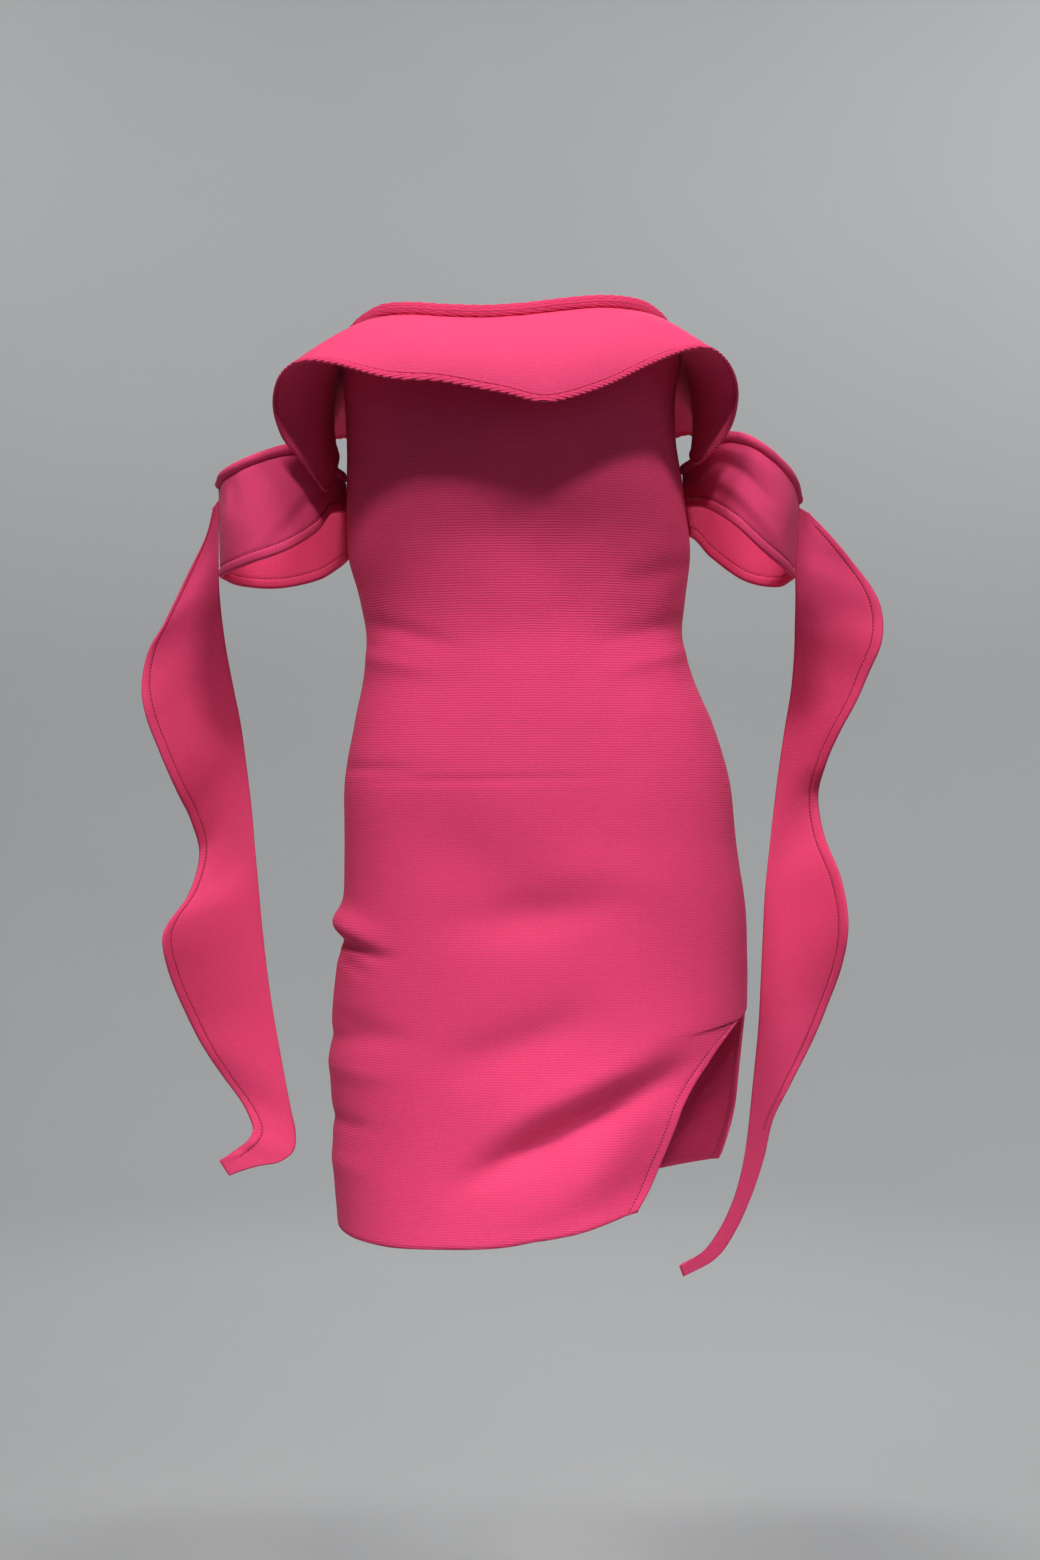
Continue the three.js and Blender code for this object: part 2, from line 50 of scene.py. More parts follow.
# Nominal lengths of cloth, for its maps and its edges: half the dress's girth, a panel, a band and a frill.
HALF_GIRTH, PANEL_LENGTH = 400, 690
BAND_ARC, BAND_LENGTH, BAND_DEPTH = 110, 130, 70
FRILL_LENGTH = 620

# Widths of the turned edges, how much a hem thickens, and the groove under a row of stitches.
SLIT_TURNING, BAND_TURNING, FRILL_TURNING, HEM_TURNING = 7.5, 6.5, 6.5, 9
HEM_PUFF = 0.5
GROOVE_WIDTH, GROOVE_DEPTH = 1.2, 0.8

# Distances from one thread to the next: ribs, strands of the two bindings, and stitches.
RIB_PITCH, NECKLINE_STRANDS, EDGE_STRANDS, STITCH_PITCH = 1.9, 2.0, 2.2, 2.65

# Body panels. Up to the kept share the slit changes nothing. Its edge is found in some rounds, each going a
# part of the way, and near it a share is a little longer than nominal. Creases fade towards the side seams,
# which have a dip. The cloth's unevenness is given as heights, pitches and seeds.
KEPT_SHARE = 0.5
SLIT_ROUNDS, SLIT_PULL, SLIT_STRETCH = 12, 0.7, 1.08
FAR_FROM_EDGE = 99
CREASE_FADE = 34
SEAM_DIP, SEAM_DIP_WIDTH = 0.9, 2.2
UNEVENNESS = ((0.7, 95, 3), (0.25, 34, 5))

# Bust flounce: how far its seam lies below the binding, how far frills and bands keep clear of the body,
# how far the cloth reaches into its edge binding, its ripples, and how much wider its lower edge is cut.
FLOUNCE_DROP, CLEAR_OF_BODY, EDGE_OVERLAP = 1.5, 2.4, 0.7
RIPPLE_HEIGHT, RIPPLE_PITCH, RIPPLE_SEED = 2.0, 60, 11
FLARE = 0.3
BAND_BELLY = 3

# Chords along a section, and the change of share that gives its direction.
ARC_SAMPLES = 96
STEP = 1e-3


def table(columns, rows):
    """A short table as one array for each named column."""
    return {name: np.array([row[k] for row in rows], float) for k, name in enumerate(columns)}


# Horizontal sections of the figure: the cloth at the left, right, front and back, and how square it is.
BODY = table(
    ["z", "left", "right", "front", "back", "square"],
    [
        [16, -134, 132, -103, 89, 2.6],
        [0, -135, 133, -107, 90, 2.6],
        [-35, -133, 124, -117, 93, 2.55],
        [-75, -131, 123, -122, 93, 2.5],
        [-120, -131, 130, -113, 89, 2.45],
        [-165, -130, 135, -98, 82, 2.4],
        [-200, -121, 131, -91, 76, 2.3],
        [-230, -116, 129, -88, 75, 2.3],
        [-262, -118, 138, -91, 84, 2.3],
        [-295, -125, 152, -96, 100, 2.35],
        [-340, -133, 165, -101, 118, 2.4],
        [-393, -133, 171, -103, 126, 2.45],
        [-434, -134, 177, -104, 126, 2.45],
        [-480, -138, 179, -104, 119, 2.45],
        [-520, -142, 179, -103, 110, 2.45],
        [-560, -144, 179, -101, 103, 2.45],
        [-600, -142, 179, -99, 98, 2.45],
        [-650, -141, 177, -97, 95, 2.45],
        [-690, -137, 174, -96, 93, 2.45],
    ],
)

# The neckline's upper edge and the hem, by the share of the way from the left seam to the right.
NECKLINE = {
    "front": table(
        ["share", "z"],
        [[0, -9], [0.09, -3], [0.151, 3.2], [0.197, 9.1], [0.246, 13.9], [0.309, 12.8], [0.373, 9.8],
         [0.452, 8.3], [0.525, 10.5], [0.606, 14.9], [0.662, 17.4], [0.719, 17.6], [0.754, 15.5],
         [0.787, 9.6], [0.814, 2.9], [0.88, -4], [1, -8]],
    ),
    "back": table(["share", "z"], [[0, -9], [0.25, -8], [0.5, -7], [0.75, -7], [1, -8]]),
}
HEM = {
    "front": table(
        ["share", "z"],
        [[0, -677.5], [0.03, -681], [0.07, -684], [0.11, -685.8], [0.143, -686.8], [0.224, -688.2],
         [0.305, -687], [0.425, -684.4], [0.5, -679], [0.566, -674], [0.631, -666.4], [0.674, -661],
         [1, -630]],
    ),
    "back": table(
        ["share", "z"],
        [[0, -677.5], [0.06, -681.5], [0.3, -682], [0.6, -670], [0.86, -645], [1, -632]],
    ),
}

# The slit's two curved edges, by the share of the panel that is left below its top.
SLIT = {
    "front": table(
        ["z", "share"],
        [[-661, 0.674], [-645, 0.696], [-615, 0.721], [-586, 0.744], [-572, 0.762], [-554, 0.794],
         [-538, 0.827], [-526, 0.868], [-519.5, 0.921], [SLIT_TOP_Z, 1]],
    ),
    "back": table(
        ["z", "share"],
        [[-650, 0.855], [-644, 0.875], [-637, 0.886], [-616, 0.907], [-595, 0.924], [-567, 0.94],
         [-542, 0.96], [-526, 0.98], [SLIT_TOP_Z, 1]],
    ),
}

# Soft folds and fine creases: each runs from one point to another on the panel seen from the front or back.
FOLD_COLUMNS = ["x0", "z0", "x1", "z1", "width", "rise"]
PINCH = [[-185, -428, -92, -467, 10, 7], [-185, -450, -84, -477, 6, -4.6]]
FOLDS = {
    "front": table(FOLD_COLUMNS, [
        [165, -497, -45, -600, 22, 3],
        [142, -547, -62, -652, 14, -6.5],
        [125, -596, -20, -676, 17, 3.5],
        [-95, -352, 48, -466, 28, -4],
        *PINCH,
    ]),
    "back": table(FOLD_COLUMNS, [
        [120, -235, -70, -262, 12, -4],
        [-120, -262, 60, -292, 13, -4],
        [150, -540, -20, -600, 22, -4],
        *PINCH,
    ]),
}

# Small puckers over the left side seam, the same on both panels.
SEAM_PUCKERS = table(FOLD_COLUMNS, [
    [-180, -452, -96, -494, 5, -1.6],
    [-180, -538, -88, -536, 7, -2.0],
    [-180, -556, -80, -562, 8, 1.4],
    [-180, -598, -92, -604, 7, -2.0],
    [-180, -630, -90, -636, 9, 1.2],
])

# Finer creases that die out before the side seams.
CREASES = {
    "front": table(FOLD_COLUMNS, [
        [132, -549, -44, -639, 9, -4.4],
        [138, -524, -46, -612, 12, 4.4],
        [75, -508, -70, -560, 17, -4.2],
        [85, -428, -66, -452, 17, -4.4],
        [-150, -520, -70, -536, 10, -2.2],
        [114, -590, 72, -708, 28, -10],
        [-150, -342, 90, -338, 2.4, -0.9],
        [-160, -330, -60, -334, 5, -1.2],
        [-150, -208, -30, -246, 7, -1.6],
        [-150, -236, -50, -262, 7, 1.4],
        [175, -205, 50, -242, 8, -1.8],
        [175, -228, 60, -262, 7, 1.5],
        [180, -160, 70, -196, 8, -1.6],
        [20, -395, 130, -425, 16, 1.4],
        [-30, -110, 60, -240, 22, -1.4],
    ]),
    "back": table(FOLD_COLUMNS, [
        [140, -205, 20, -226, 8, -1.8],
        [-140, -205, -20, -228, 8, -1.8],
        [-130, -236, 10, -250, 7, 1.5],
        [130, -262, 0, -278, 8, 1.7],
        [-150, -500, 60, -530, 14, -2.2],
        [120, -470, -40, -500, 12, 1.7],
        [-150, -590, 20, -640, 14, -2],
        [0, -60, 10, -200, 20, -1.4],
    ]),
}

# The flounce's lower edge, by the share of the neckline seam that it falls from. Arch is how far the
# cloth stands above a straight line from the seam to the edge.
FLOUNCE = {
    "front": table(["share", "x", "y", "z", "arch"], [
        [0, -140, 4, -82, 6],
        [0.022, -138, -20, -94, 5],
        [0.05, -143, -41, -120, 5],
        [0.075, -150, -53, -114, 4],
        [0.1, -164, -64, -97, 3],
        [0.12, -175, -71, -84, 2],
        [0.14, -181, -80, -64, 2],
        [0.165, -177, -94, -47, 2],
        [0.19, -165, -110, -38, 3],
        [0.215, -151, -125, -37, 5],
        [0.25, -133, -136, -41.5, 8],
        [0.29, -109, -145, -48.5, 11],
        [0.335, -81, -151, -55, 13],
        [0.395, -47, -156, -59, 14],
        [0.465, -11, -157, -65.5, 14],
        [0.545, 22, -155, -72, 14],
        [0.625, 59, -152, -62, 14],
        [0.7, 96, -142, -43.5, 11],
        [0.76, 126, -127, -29.5, 6],
        [0.795, 142, -119, -28, 3],
        [0.825, 154, -103, -33, 2],
        [0.85, 162, -89, -43, 2],
        [0.87, 165, -77, -56, 2],
        [0.895, 162, -70, -74, 3],
        [0.92, 153, -64, -89, 4],
        [0.945, 142, -55, -98, 5],
        [0.962, 136, -43, -100, 5],
        [0.98, 134, -20, -90, 5],
        [1, 140, 4, -82, 6],
    ]),
    "back": table(["share", "x", "y", "z", "arch"], [
        [0, -140, 4, -82, 6],
        [0.04, -146, 34, -92, 5],
        [0.09, -154, 62, -96, 5],
        [0.15, -166, 92, -76, 5],
        [0.21, -156, 122, -56, 6],
        [0.28, -122, 146, -54, 9],
        [0.37, -74, 152, -74, 13],
        [0.46, -24, 148, -84, 12],
        [0.54, 20, 154, -66, 13],
        [0.62, 62, 152, -72, 13],
        [0.7, 104, 138, -66, 9],
        [0.78, 142, 120, -52, 6],
        [0.85, 160, 90, -66, 5],
        [0.91, 154, 62, -90, 5],
        [0.96, 146, 34, -90, 5],
        [1, 140, 4, -82, 6],
    ]),
}

# Each arm band from the outer seam, at share 0, to where it is sewn to the dress, at share 1.
BAND_COLUMNS = ["share", "topX", "topY", "topZ", "lowX", "lowY", "lowZ"]
BANDS = {
    "left": {
        "front": table(BAND_COLUMNS, [
            [0, -232, 2, -113, -231, 2, -181],
            [0.2, -223, -29, -109, -221, -31, -180],
            [0.42, -200, -48, -101, -199, -51, -174],
            [0.62, -173, -50, -93, -172, -52, -164],
            [0.78, -155, -39, -92, -152, -38, -149],
            [0.9, -145, -20, -102, -143, -18, -133],
            [1, -134, 3, -108, -134, 3, -130],
        ]),
        "back": table(BAND_COLUMNS, [
            [0, -232, 2, -113, -231, 2, -181],
            [0.25, -221, 35, -112, -220, 37, -184],
            [0.5, -194, 54, -109, -192, 58, -184],
            [0.75, -161, 48, -104, -159, 50, -178],
            [0.9, -144, 27, -105, -141, 26, -171],
            [1, -134, 6, -108, -132, 6, -167],
        ]),
    },
    "right": {
        "front": table(BAND_COLUMNS, [
            [0, 221, 2, -125, 217, 2, -182],
            [0.2, 212, -24, -111, 206, -28, -177],
            [0.42, 193, -41, -95, 187, -45, -164],
            [0.62, 171, -47, -84, 166, -48, -145],
            [0.8, 152, -38, -84, 149, -33, -132],
            [0.92, 142, -17, -95, 140, -14, -127],
            [1, 131, 3, -101, 132, 3, -126],
        ]),
        "back": table(BAND_COLUMNS, [
            [0, 221, 2, -125, 217, 2, -182],
            [0.25, 211, 33, -123, 208, 36, -185],
            [0.5, 188, 52, -115, 184, 56, -178],
            [0.75, 159, 47, -106, 156, 46, -160],
            [0.9, 144, 26, -102, 142, 24, -149],
            [1, 131, 6, -101, 133, 6, -147],
        ]),
    },
}

# Creases in the bands: from one place to another, as shares along and down the band, width in shares.
BAND_CREASES = {
    "left": table(["s0", "t0", "s1", "t1", "width", "rise"], [
        [0.27, -0.1, 0.31, 0.5, 0.05, -1.5],
        [0.15, 0.0, 0.2, 0.4, 0.04, -1.0],
        [0.45, 1.0, 0.95, 0.3, 0.1, -1.8],
        [0.3, 1.1, 0.85, 0.35, 0.07, 1.2],
    ]),
    "right": table(["s0", "t0", "s1", "t1", "width", "rise"], [
        [0.9, 0.22, 0.36, 0.52, 0.09, -3.2],
        [0.98, 0.42, 0.2, 0.9, 0.09, 2.2],
        [0.85, 0.05, 0.35, 0.22, 0.08, 1.6],
        [0.1, 0.2, 0.22, 0.9, 0.07, -1.2],
    ]),
}

# The long flounces: the inner edge, the outer edge, and how far the cloth between them bows backwards.
HANGING_COLUMNS = ["row", "inX", "inY", "inZ", "outX", "outY", "outZ", "bow"]
HANGING = {
    "left": table(HANGING_COLUMNS, [
        [0, -233.3, 3, -122, -237, 4, -127, 0],
        [1, -233.3, 3, -134, -244, 8, -150, 1],
        [2, -233.3, 3, -152, -259, 9, -181, 3],
        [3, -233.3, 3, -172, -276, 7, -217, 5],
        [4, -233.5, 8, -192, -288, 3, -240, 7],
        [5, -233, 19, -213, -292, 0, -266, 8],
        [6, -231, 31, -238, -288, 0, -291, 8],
        [7, -227, 42, -266, -278, 7, -320, 6],
        [8, -222, 50, -296, -267, 20, -350, 4],
        [9, -218, 55, -330, -259, 36, -372, 2],
        [10, -214, 56, -365, -254, 50, -399, 0],
        [11, -211, 55, -400, -260, 32, -430, 6],
        [12, -208, 54, -432, -272, -2, -453, 9],
        [13, -205, 53, -462, -274, -12, -468, 9],
        [14, -201, 51, -495, -269, 0, -495, 6],
        [15, -196, 49, -528, -257, 15, -529, 3],
        [16, -190, 47, -560, -246, 24, -553, 1],
        [17, -185, 44, -585, -232, 31, -577, 0],
        [18, -181, 42, -604, -217, 36, -599, 0],
        [19, -177, 38, -621, -209, 33, -616, 0],
        [20, -178, 32, -635, -211, 28, -625, 0],
        [21, -189, 27, -643, -218, 24, -631, 0],
        [22, -204, 22, -645, -224, 20, -635, 0],
        [23, -217, 18, -648, -229, 17, -638, 0],
        [24, -226, 15, -651, -233, 15, -640, 0],
    ]),
    "right": table(HANGING_COLUMNS, [
        [0, 222.1, 3, -128, 229, 4, -131, 0],
        [1, 221.2, 3, -141, 244, 7, -146, 1],
        [2, 220.3, 3, -157, 263, 8, -168, 3],
        [3, 219.1, 3, -175, 279, 7, -190, 5],
        [4, 220, 9, -196, 286, 5, -210, 7],
        [5, 221, 20, -216, 285, 4, -232, 8],
        [6, 222, 33, -240, 277, 8, -254, 8],
        [7, 221, 44, -268, 268, 15, -277, 6],
        [8, 217, 52, -298, 256, 26, -302, 4],
        [9, 213, 56, -328, 247, 42, -327, 2],
        [10, 209, 57, -360, 243, 58, -353, 0],
        [11, 205, 55, -394, 247, 50, -385, 4],
        [12, 201, 52, -430, 257, 26, -418, 7],
        [13, 199, 50, -466, 261, 16, -452, 7],
        [14, 197, 47, -502, 257, 23, -487, 4],
        [15, 195, 45, -536, 247, 33, -520, 2],
        [16, 192, 43, -566, 234, 39, -553, 0],
        [17, 189, 42, -594, 219, 42, -583, 0],
        [18, 186, 42, -622, 205, 43, -612, 0],
        [19, 182, 42, -648, 198, 43, -642, 0],
        [20, 175, 41, -674, 188, 42, -672, 0],
        [21, 164, 40, -698, 175, 41, -700, 0],
        [22, 150, 39, -717, 159, 40, -722, 0],
        [23, 131, 38, -728, 134, 39, -736, 0],
    ]),
}


def along(rows, key, column, at):
    """Smooth curve through a table's rows: between two rows it is a cubic whose slope at each row is that
    of the straight line from the row before to the row after."""
    k, v = rows[key], rows[column]
    at = np.asarray(at, float)
    sign = 1 if k[-1] > k[0] else -1
    i = np.clip(np.searchsorted(sign * k, sign * at, side="left") - 1, 0, len(k) - 2)
    before, after = np.maximum(np.arange(len(k)) - 1, 0), np.minimum(np.arange(len(k)) + 1, len(k) - 1)
    slope = (v[after] - v[before]) / (k[after] - k[before])
    h = k[i + 1] - k[i]
    t = np.clip((at - k[i]) / h, 0, 1)
    return (
        v[i] * (2 * t**3 - 3 * t**2 + 1)
        + v[i + 1] * (3 * t**2 - 2 * t**3)
        + h * (slope[i] * (t**3 - 2 * t**2 + t) + slope[i + 1] * (t**3 - t**2))
    )


def unit(v):
    """Vectors divided by their lengths."""
    return v / np.maximum(np.linalg.norm(v, axis=-1, keepdims=True), 1e-9)


def section_point(z, side, angle):
    """Half a superellipse: x is the middle less half the width times cos to a power, y is the side seam
    plus the reach times sin to the same power, for an angle from the left seam to the right one."""
    left, right = along(BODY, "z", "left", z), along(BODY, "z", "right", z)
    power = 2 / along(BODY, "z", "square", z)
    reach = along(BODY, "z", side, z) - SIDE_SEAM_Y
    c = np.cos(angle)
    x = (left + right) / 2 - (right - left) / 2 * np.sign(c) * np.abs(c) ** power
    return x, SIDE_SEAM_Y + np.clip(np.sin(angle), 0, 1) ** power * reach


def figure(side, share, z):
    """A point of the figure's section at a height, at a share of the arc's length from the left seam over
    the front or back to the right one. The arc is summed over chords and the share found between them."""
    share, z = np.broadcast_arrays(np.asarray(share, float), np.asarray(z, float))
    shape, share, z = share.shape, np.clip(share.ravel(), 0, 1), z.ravel()
    even = np.linspace(0, 1, ARC_SAMPLES + 1)
    angle = np.pi * (even - np.sin(2 * np.pi * even) / (2 * np.pi))
    x, y = section_point(z[:, None], side, angle[None, :])
    chords = np.hypot(np.diff(x), np.diff(y))
    reached = np.concatenate([np.zeros((len(z), 1)), np.cumsum(chords, axis=1)], 1)
    wanted = share * reached[:, -1]
    i = np.clip((reached[:, 1:] < wanted[:, None]).sum(1), 0, ARC_SAMPLES - 1)
    row = np.arange(len(z))
    part = (wanted - reached[row, i]) / (reached[row, i + 1] - reached[row, i])
    x, y = section_point(z, side, angle[i] + part * (angle[i + 1] - angle[i]))
    return np.stack([x, y, z], -1).reshape(*shape, 3)


def outward_of(side, share, z):
    """The level direction square to the figure's section, from the chord between two near shares."""
    d = figure(side, np.clip(share + STEP, 0, 1), z) - figure(side, np.clip(share - STEP, 0, 1), z)
    turn = 1 if side == "front" else -1
    return unit(np.stack([d[..., 1] * turn, -d[..., 0] * turn, np.zeros(d.shape[:-1])], -1))


def crease_rise(rows, a, b, names):
    """The sum over creases of a height times a bell across the crease times a sine arch along it."""
    a0, b0, a1, b1 = (rows[n] for n in names)
    rise = np.zeros(np.shape(a))
    for k in range(len(a0)):
        run_a, run_b = a1[k] - a0[k], b1[k] - b0[k]
        length = math.hypot(run_a, run_b)
        share = np.clip(((a - a0[k]) * run_a + (b - b0[k]) * run_b) / length**2, 0, 1)
        aside = ((a - a0[k]) * run_b - (b - b0[k]) * run_a) / length
        bell = np.exp(-((aside / rows["width"][k]) ** 2))
        rise += rows["rise"][k] * np.sin(np.pi * share) ** 1.2 * bell
    return rise


def soft_waver(p, pitch, seed):
    """A smooth unevenness between -1 and 1: the mean of five sines of the place in turned directions."""
    turn = np.random.default_rng(seed).normal(size=(5, 3))
    phase = np.random.default_rng(seed + 1).uniform(0, 2 * np.pi, 5)
    return np.sin(p @ unit(turn).T * (2 * np.pi / pitch) + phase).mean(-1)


def turning(from_edge, width, puff):
    """Extra thickness of an edge that is turned in and stitched: half an oval over the turning, and a
    bell-shaped groove under the row of stitches."""
    oval = np.sqrt(np.clip(1 - ((from_edge - 0.45 * width) / (0.55 * width)) ** 2, 0, 1))
    return puff * oval - GROOVE_DEPTH * np.exp(-(((from_edge - width) / GROOVE_WIDTH) ** 2))


def grid(columns, rows):
    """Two arrays, the share across and the share down, over a grid."""
    return np.meshgrid(np.linspace(0, 1, columns + 1), np.linspace(0, 1, rows + 1))


def panel(side, columns, rows):
    """Body panel: over a grid, height runs from under the binding to the hem and share from seam to seam,
    squeezed beyond the middle so that the last column follows the slit, with its columns closer there.
    Folds and creases lift it outwards, and its side seams lie in a shallow dip."""
    u, v = grid(columns, rows)
    u = np.interp(u, [0, 0.72, 1], [0, 0.88, 1])

    def height(share, down):
        top = along(NECKLINE[side], "share", "z", share) - BINDING_HEIGHT - 2 * SEAM_GAP
        return top + (along(HEM[side], "share", "z", share) - top) * down

    trim = SEAM_GAP / 2 / HALF_GIRTH
    last = np.ones(rows + 1)
    for _ in range(SLIT_ROUNDS):
        z = height(last, v[:, 0])
        wanted = np.where(z > SLIT_TOP_Z, 1, along(SLIT[side], "z", "share", z))
        last = last + SLIT_PULL * (wanted - last)
    last = np.minimum(last, 1 - trim)[:, None]
    beyond = np.clip((u - KEPT_SHARE) / (1 - KEPT_SHARE), 0, 1)
    share = np.maximum(np.minimum(u, KEPT_SHARE), trim) + beyond * (last - KEPT_SHARE)
    z = height(share, v)
    p = figure(side, share, z)
    above_slit = np.clip(z - SLIT_TOP_Z, 0, 1)
    from_slit = (last - share) * HALF_GIRTH * SLIT_STRETCH + above_slit * FAR_FROM_EDGE
    from_seam = np.minimum(share, 1 - share) * HALF_GIRTH
    inside = np.clip(from_seam / CREASE_FADE, 0, 1)
    ends = ["x0", "z0", "x1", "z1"]
    lift = crease_rise(FOLDS[side], p[..., 0], z, ends) + crease_rise(SEAM_PUCKERS, p[..., 0], z, ends)
    lift += crease_rise(CREASES[side], p[..., 0], z, ends) * inside**2 * (3 - 2 * inside)
    lift += sum(rise * soft_waver(p, pitch, seed) for rise, pitch, seed in UNEVENNESS)
    lift -= SEAM_DIP * np.exp(-((from_seam / SEAM_DIP_WIDTH) ** 2))
    p = p + outward_of(side, share, z) * lift[..., None]
    hem = HEM_PUFF * np.exp(-(((1 - v) * PANEL_LENGTH / HEM_TURNING) ** 6))
    thick = CLOTH + turning(from_slit, SLIT_TURNING, 0.8) + hem
    return p, thick, np.stack([share * HALF_GIRTH, z], -1), from_slit


def flounce(side, columns, rows, end=EDGE_BINDING_WIDTH - EDGE_OVERLAP):
    """Bust flounce: from the seam under the binding, out and down to the waved edge, by the straight line
    between them plus an arch of a parabola and ripples. It ends a little inside the edge binding, with a
    faint groove there."""
    u, v = grid(columns, rows)
    v = np.interp(v, [0, 0.7, 1], [0, 0.9, 1])
    trim = SEAM_GAP / HALF_GIRTH
    share = np.clip(u[0], trim, 1 - trim)
    seam_z = along(NECKLINE[side], "share", "z", share) - BINDING_HEIGHT - FLOUNCE_DROP
    outward = outward_of(side, share, seam_z)
    seam = figure(side, share, seam_z) + outward * CLEAR_OF_BODY
    edge = np.stack([along(FLOUNCE[side], "share", k, share) for k in "xyz"], -1)
    fall = edge - seam
    length = np.linalg.norm(fall, axis=-1)
    straight = fall / length[:, None]
    lift = outward + [0, 0, 1]
    lift = unit(lift - straight * (lift * straight).sum(-1, keepdims=True))
    arch = along(FLOUNCE[side], "share", "arch", share)
    down = v * (1 - end / length)
    ripple = RIPPLE_HEIGHT * soft_waver(edge, RIPPLE_PITCH, RIPPLE_SEED) * v**2
    p = seam + fall * down[..., None] + lift * (arch * 4 * down * (1 - down) + ripple)[..., None]
    from_edge = (1 - v) * length
    depth, place, width = 0.15, 1.6, 0.9
    groove = depth * np.exp(-(((from_edge - place) / width) ** 2))
    uv = np.stack([share * HALF_GIRTH * (1 + FLARE * v), v * length], -1)
    return p, CLOTH - groove, uv, from_edge


def keep_outside(p, arm, distance):
    """Moves points outwards, where they must be, to lie at least so far from the dress's side seam."""
    turn = -1 if arm == "left" else 1
    edge = figure("front", 0.0 if arm == "left" else 1.0, p[..., 2])[..., 0] + turn * distance
    p[..., 0] = turn * np.maximum(turn * p[..., 0], turn * edge)
    return p


def band(arm, side, columns, rows):
    """Half an arm band: straight lines from its top curve to its lower curve, with a belly of two sines,
    creases that fade towards its seams and its top, and the last column held against the dress's side."""
    u, v = grid(columns, rows)
    v = np.interp(v, [0, 0.6, 1], [0, 0.84, 1])
    trim = 1.5 * SEAM_GAP / BAND_ARC
    share = trim + (1 - trim) * u
    at = [along(BANDS[arm][side], "share", k, share) for k in BAND_COLUMNS[1:]]
    top, low = np.stack(at[:3], -1), np.stack(at[3:], -1)
    belly = BAND_BELLY * np.sin(np.pi * v) * np.sin(np.pi * share)
    turn = -1 if arm == "left" else 1
    p = top + (low - top) * v[..., None]
    p[..., 0] += turn * belly
    p[..., 1] += (-1 if side == "front" else 1) * belly
    if side == "front":
        rise = crease_rise(BAND_CREASES[arm], share, v, ["s0", "t0", "s1", "t1"])
        fade = np.minimum(1, 6 * np.minimum(share, 1 - share)) * np.minimum(1, 8 * v)
        angle = np.pi * (0.5 - share)
        outward = np.stack([turn * np.sin(angle), -np.cos(angle), 0 * share], -1)
        p = p + outward * (rise * fade)[..., None]
    p = keep_outside(p, arm, CLEAR_OF_BODY)
    from_hem = (1 - v) * np.linalg.norm(low - top, axis=-1)
    thick = CLOTH + turning(from_hem, BAND_TURNING, 1.7)
    return p, thick, np.stack([share * BAND_LENGTH, v * BAND_DEPTH], -1), from_hem


def hanging(arm, columns, rows):
    """Long flounce: straight lines from its inner edge to its outer edge, bowed backwards by a parabola,
    with a long and a short wave that grow towards the outer edge and die out at its top and where it is
    narrow."""
    u, v = grid(columns, rows)
    u = np.interp(u, [0, 0.5, 1], [0, 0.74, 1])
    at = [along(HANGING[arm], "row", k, v * HANGING[arm]["row"][-1]) for k in HANGING_COLUMNS[1:]]
    inner, outer, bow = np.stack(at[:3], -1), np.stack(at[3:6], -1), at[6]
    p = inner + (outer - inner) * u[..., None]
    wide = np.linalg.norm(outer - inner, axis=-1)
    start = 0 if arm == "left" else 2
    waves = 1.3 * np.sin(v * 34 + start + 2 * u) + 0.7 * np.sin(v * 71 + 1)
    p[..., 1] += bow * 4 * u * (1 - u) + np.minimum(1, wide / 40) * u * waves * np.clip(v * 8, 0, 1)
    from_hem = (1 - u) * wide
    thick = CLOTH + turning(from_hem, FRILL_TURNING, 0.9) * np.clip((wide - 14) / 8, 0, 1)
    return p, thick, np.stack([u * wide, v * FRILL_LENGTH], -1), from_hem


def make(name, points, faces, uv, material):
    """A mesh object from vertices in millimetres and lists of faces, with one UV place for each vertex, in
    millimetres of cloth."""
    mesh = bpy.data.meshes.new(name)
    mesh.from_pydata((points * MM).tolist(), [], faces)
    mesh.polygons.foreach_set("use_smooth", np.ones(len(mesh.polygons), bool))
    corner = np.empty(len(mesh.loops), int)
    mesh.loops.foreach_get("vertex_index", corner)
    layer = mesh.uv_layers.new(name="cloth")
    layer.data.foreach_set("uv", (uv[corner] * MM).astype(np.float32).ravel())
    mesh.materials.append(material)
    mesh.update()
    obj = bpy.data.objects.new(name, mesh)
    bpy.context.collection.objects.link(obj)
    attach(obj, "root")
    return obj


def quads(a, b, c, d):
    """Faces from four arrays of corner numbers."""
    return np.stack([np.ravel(x) for x in (a, b, c, d)], -1)


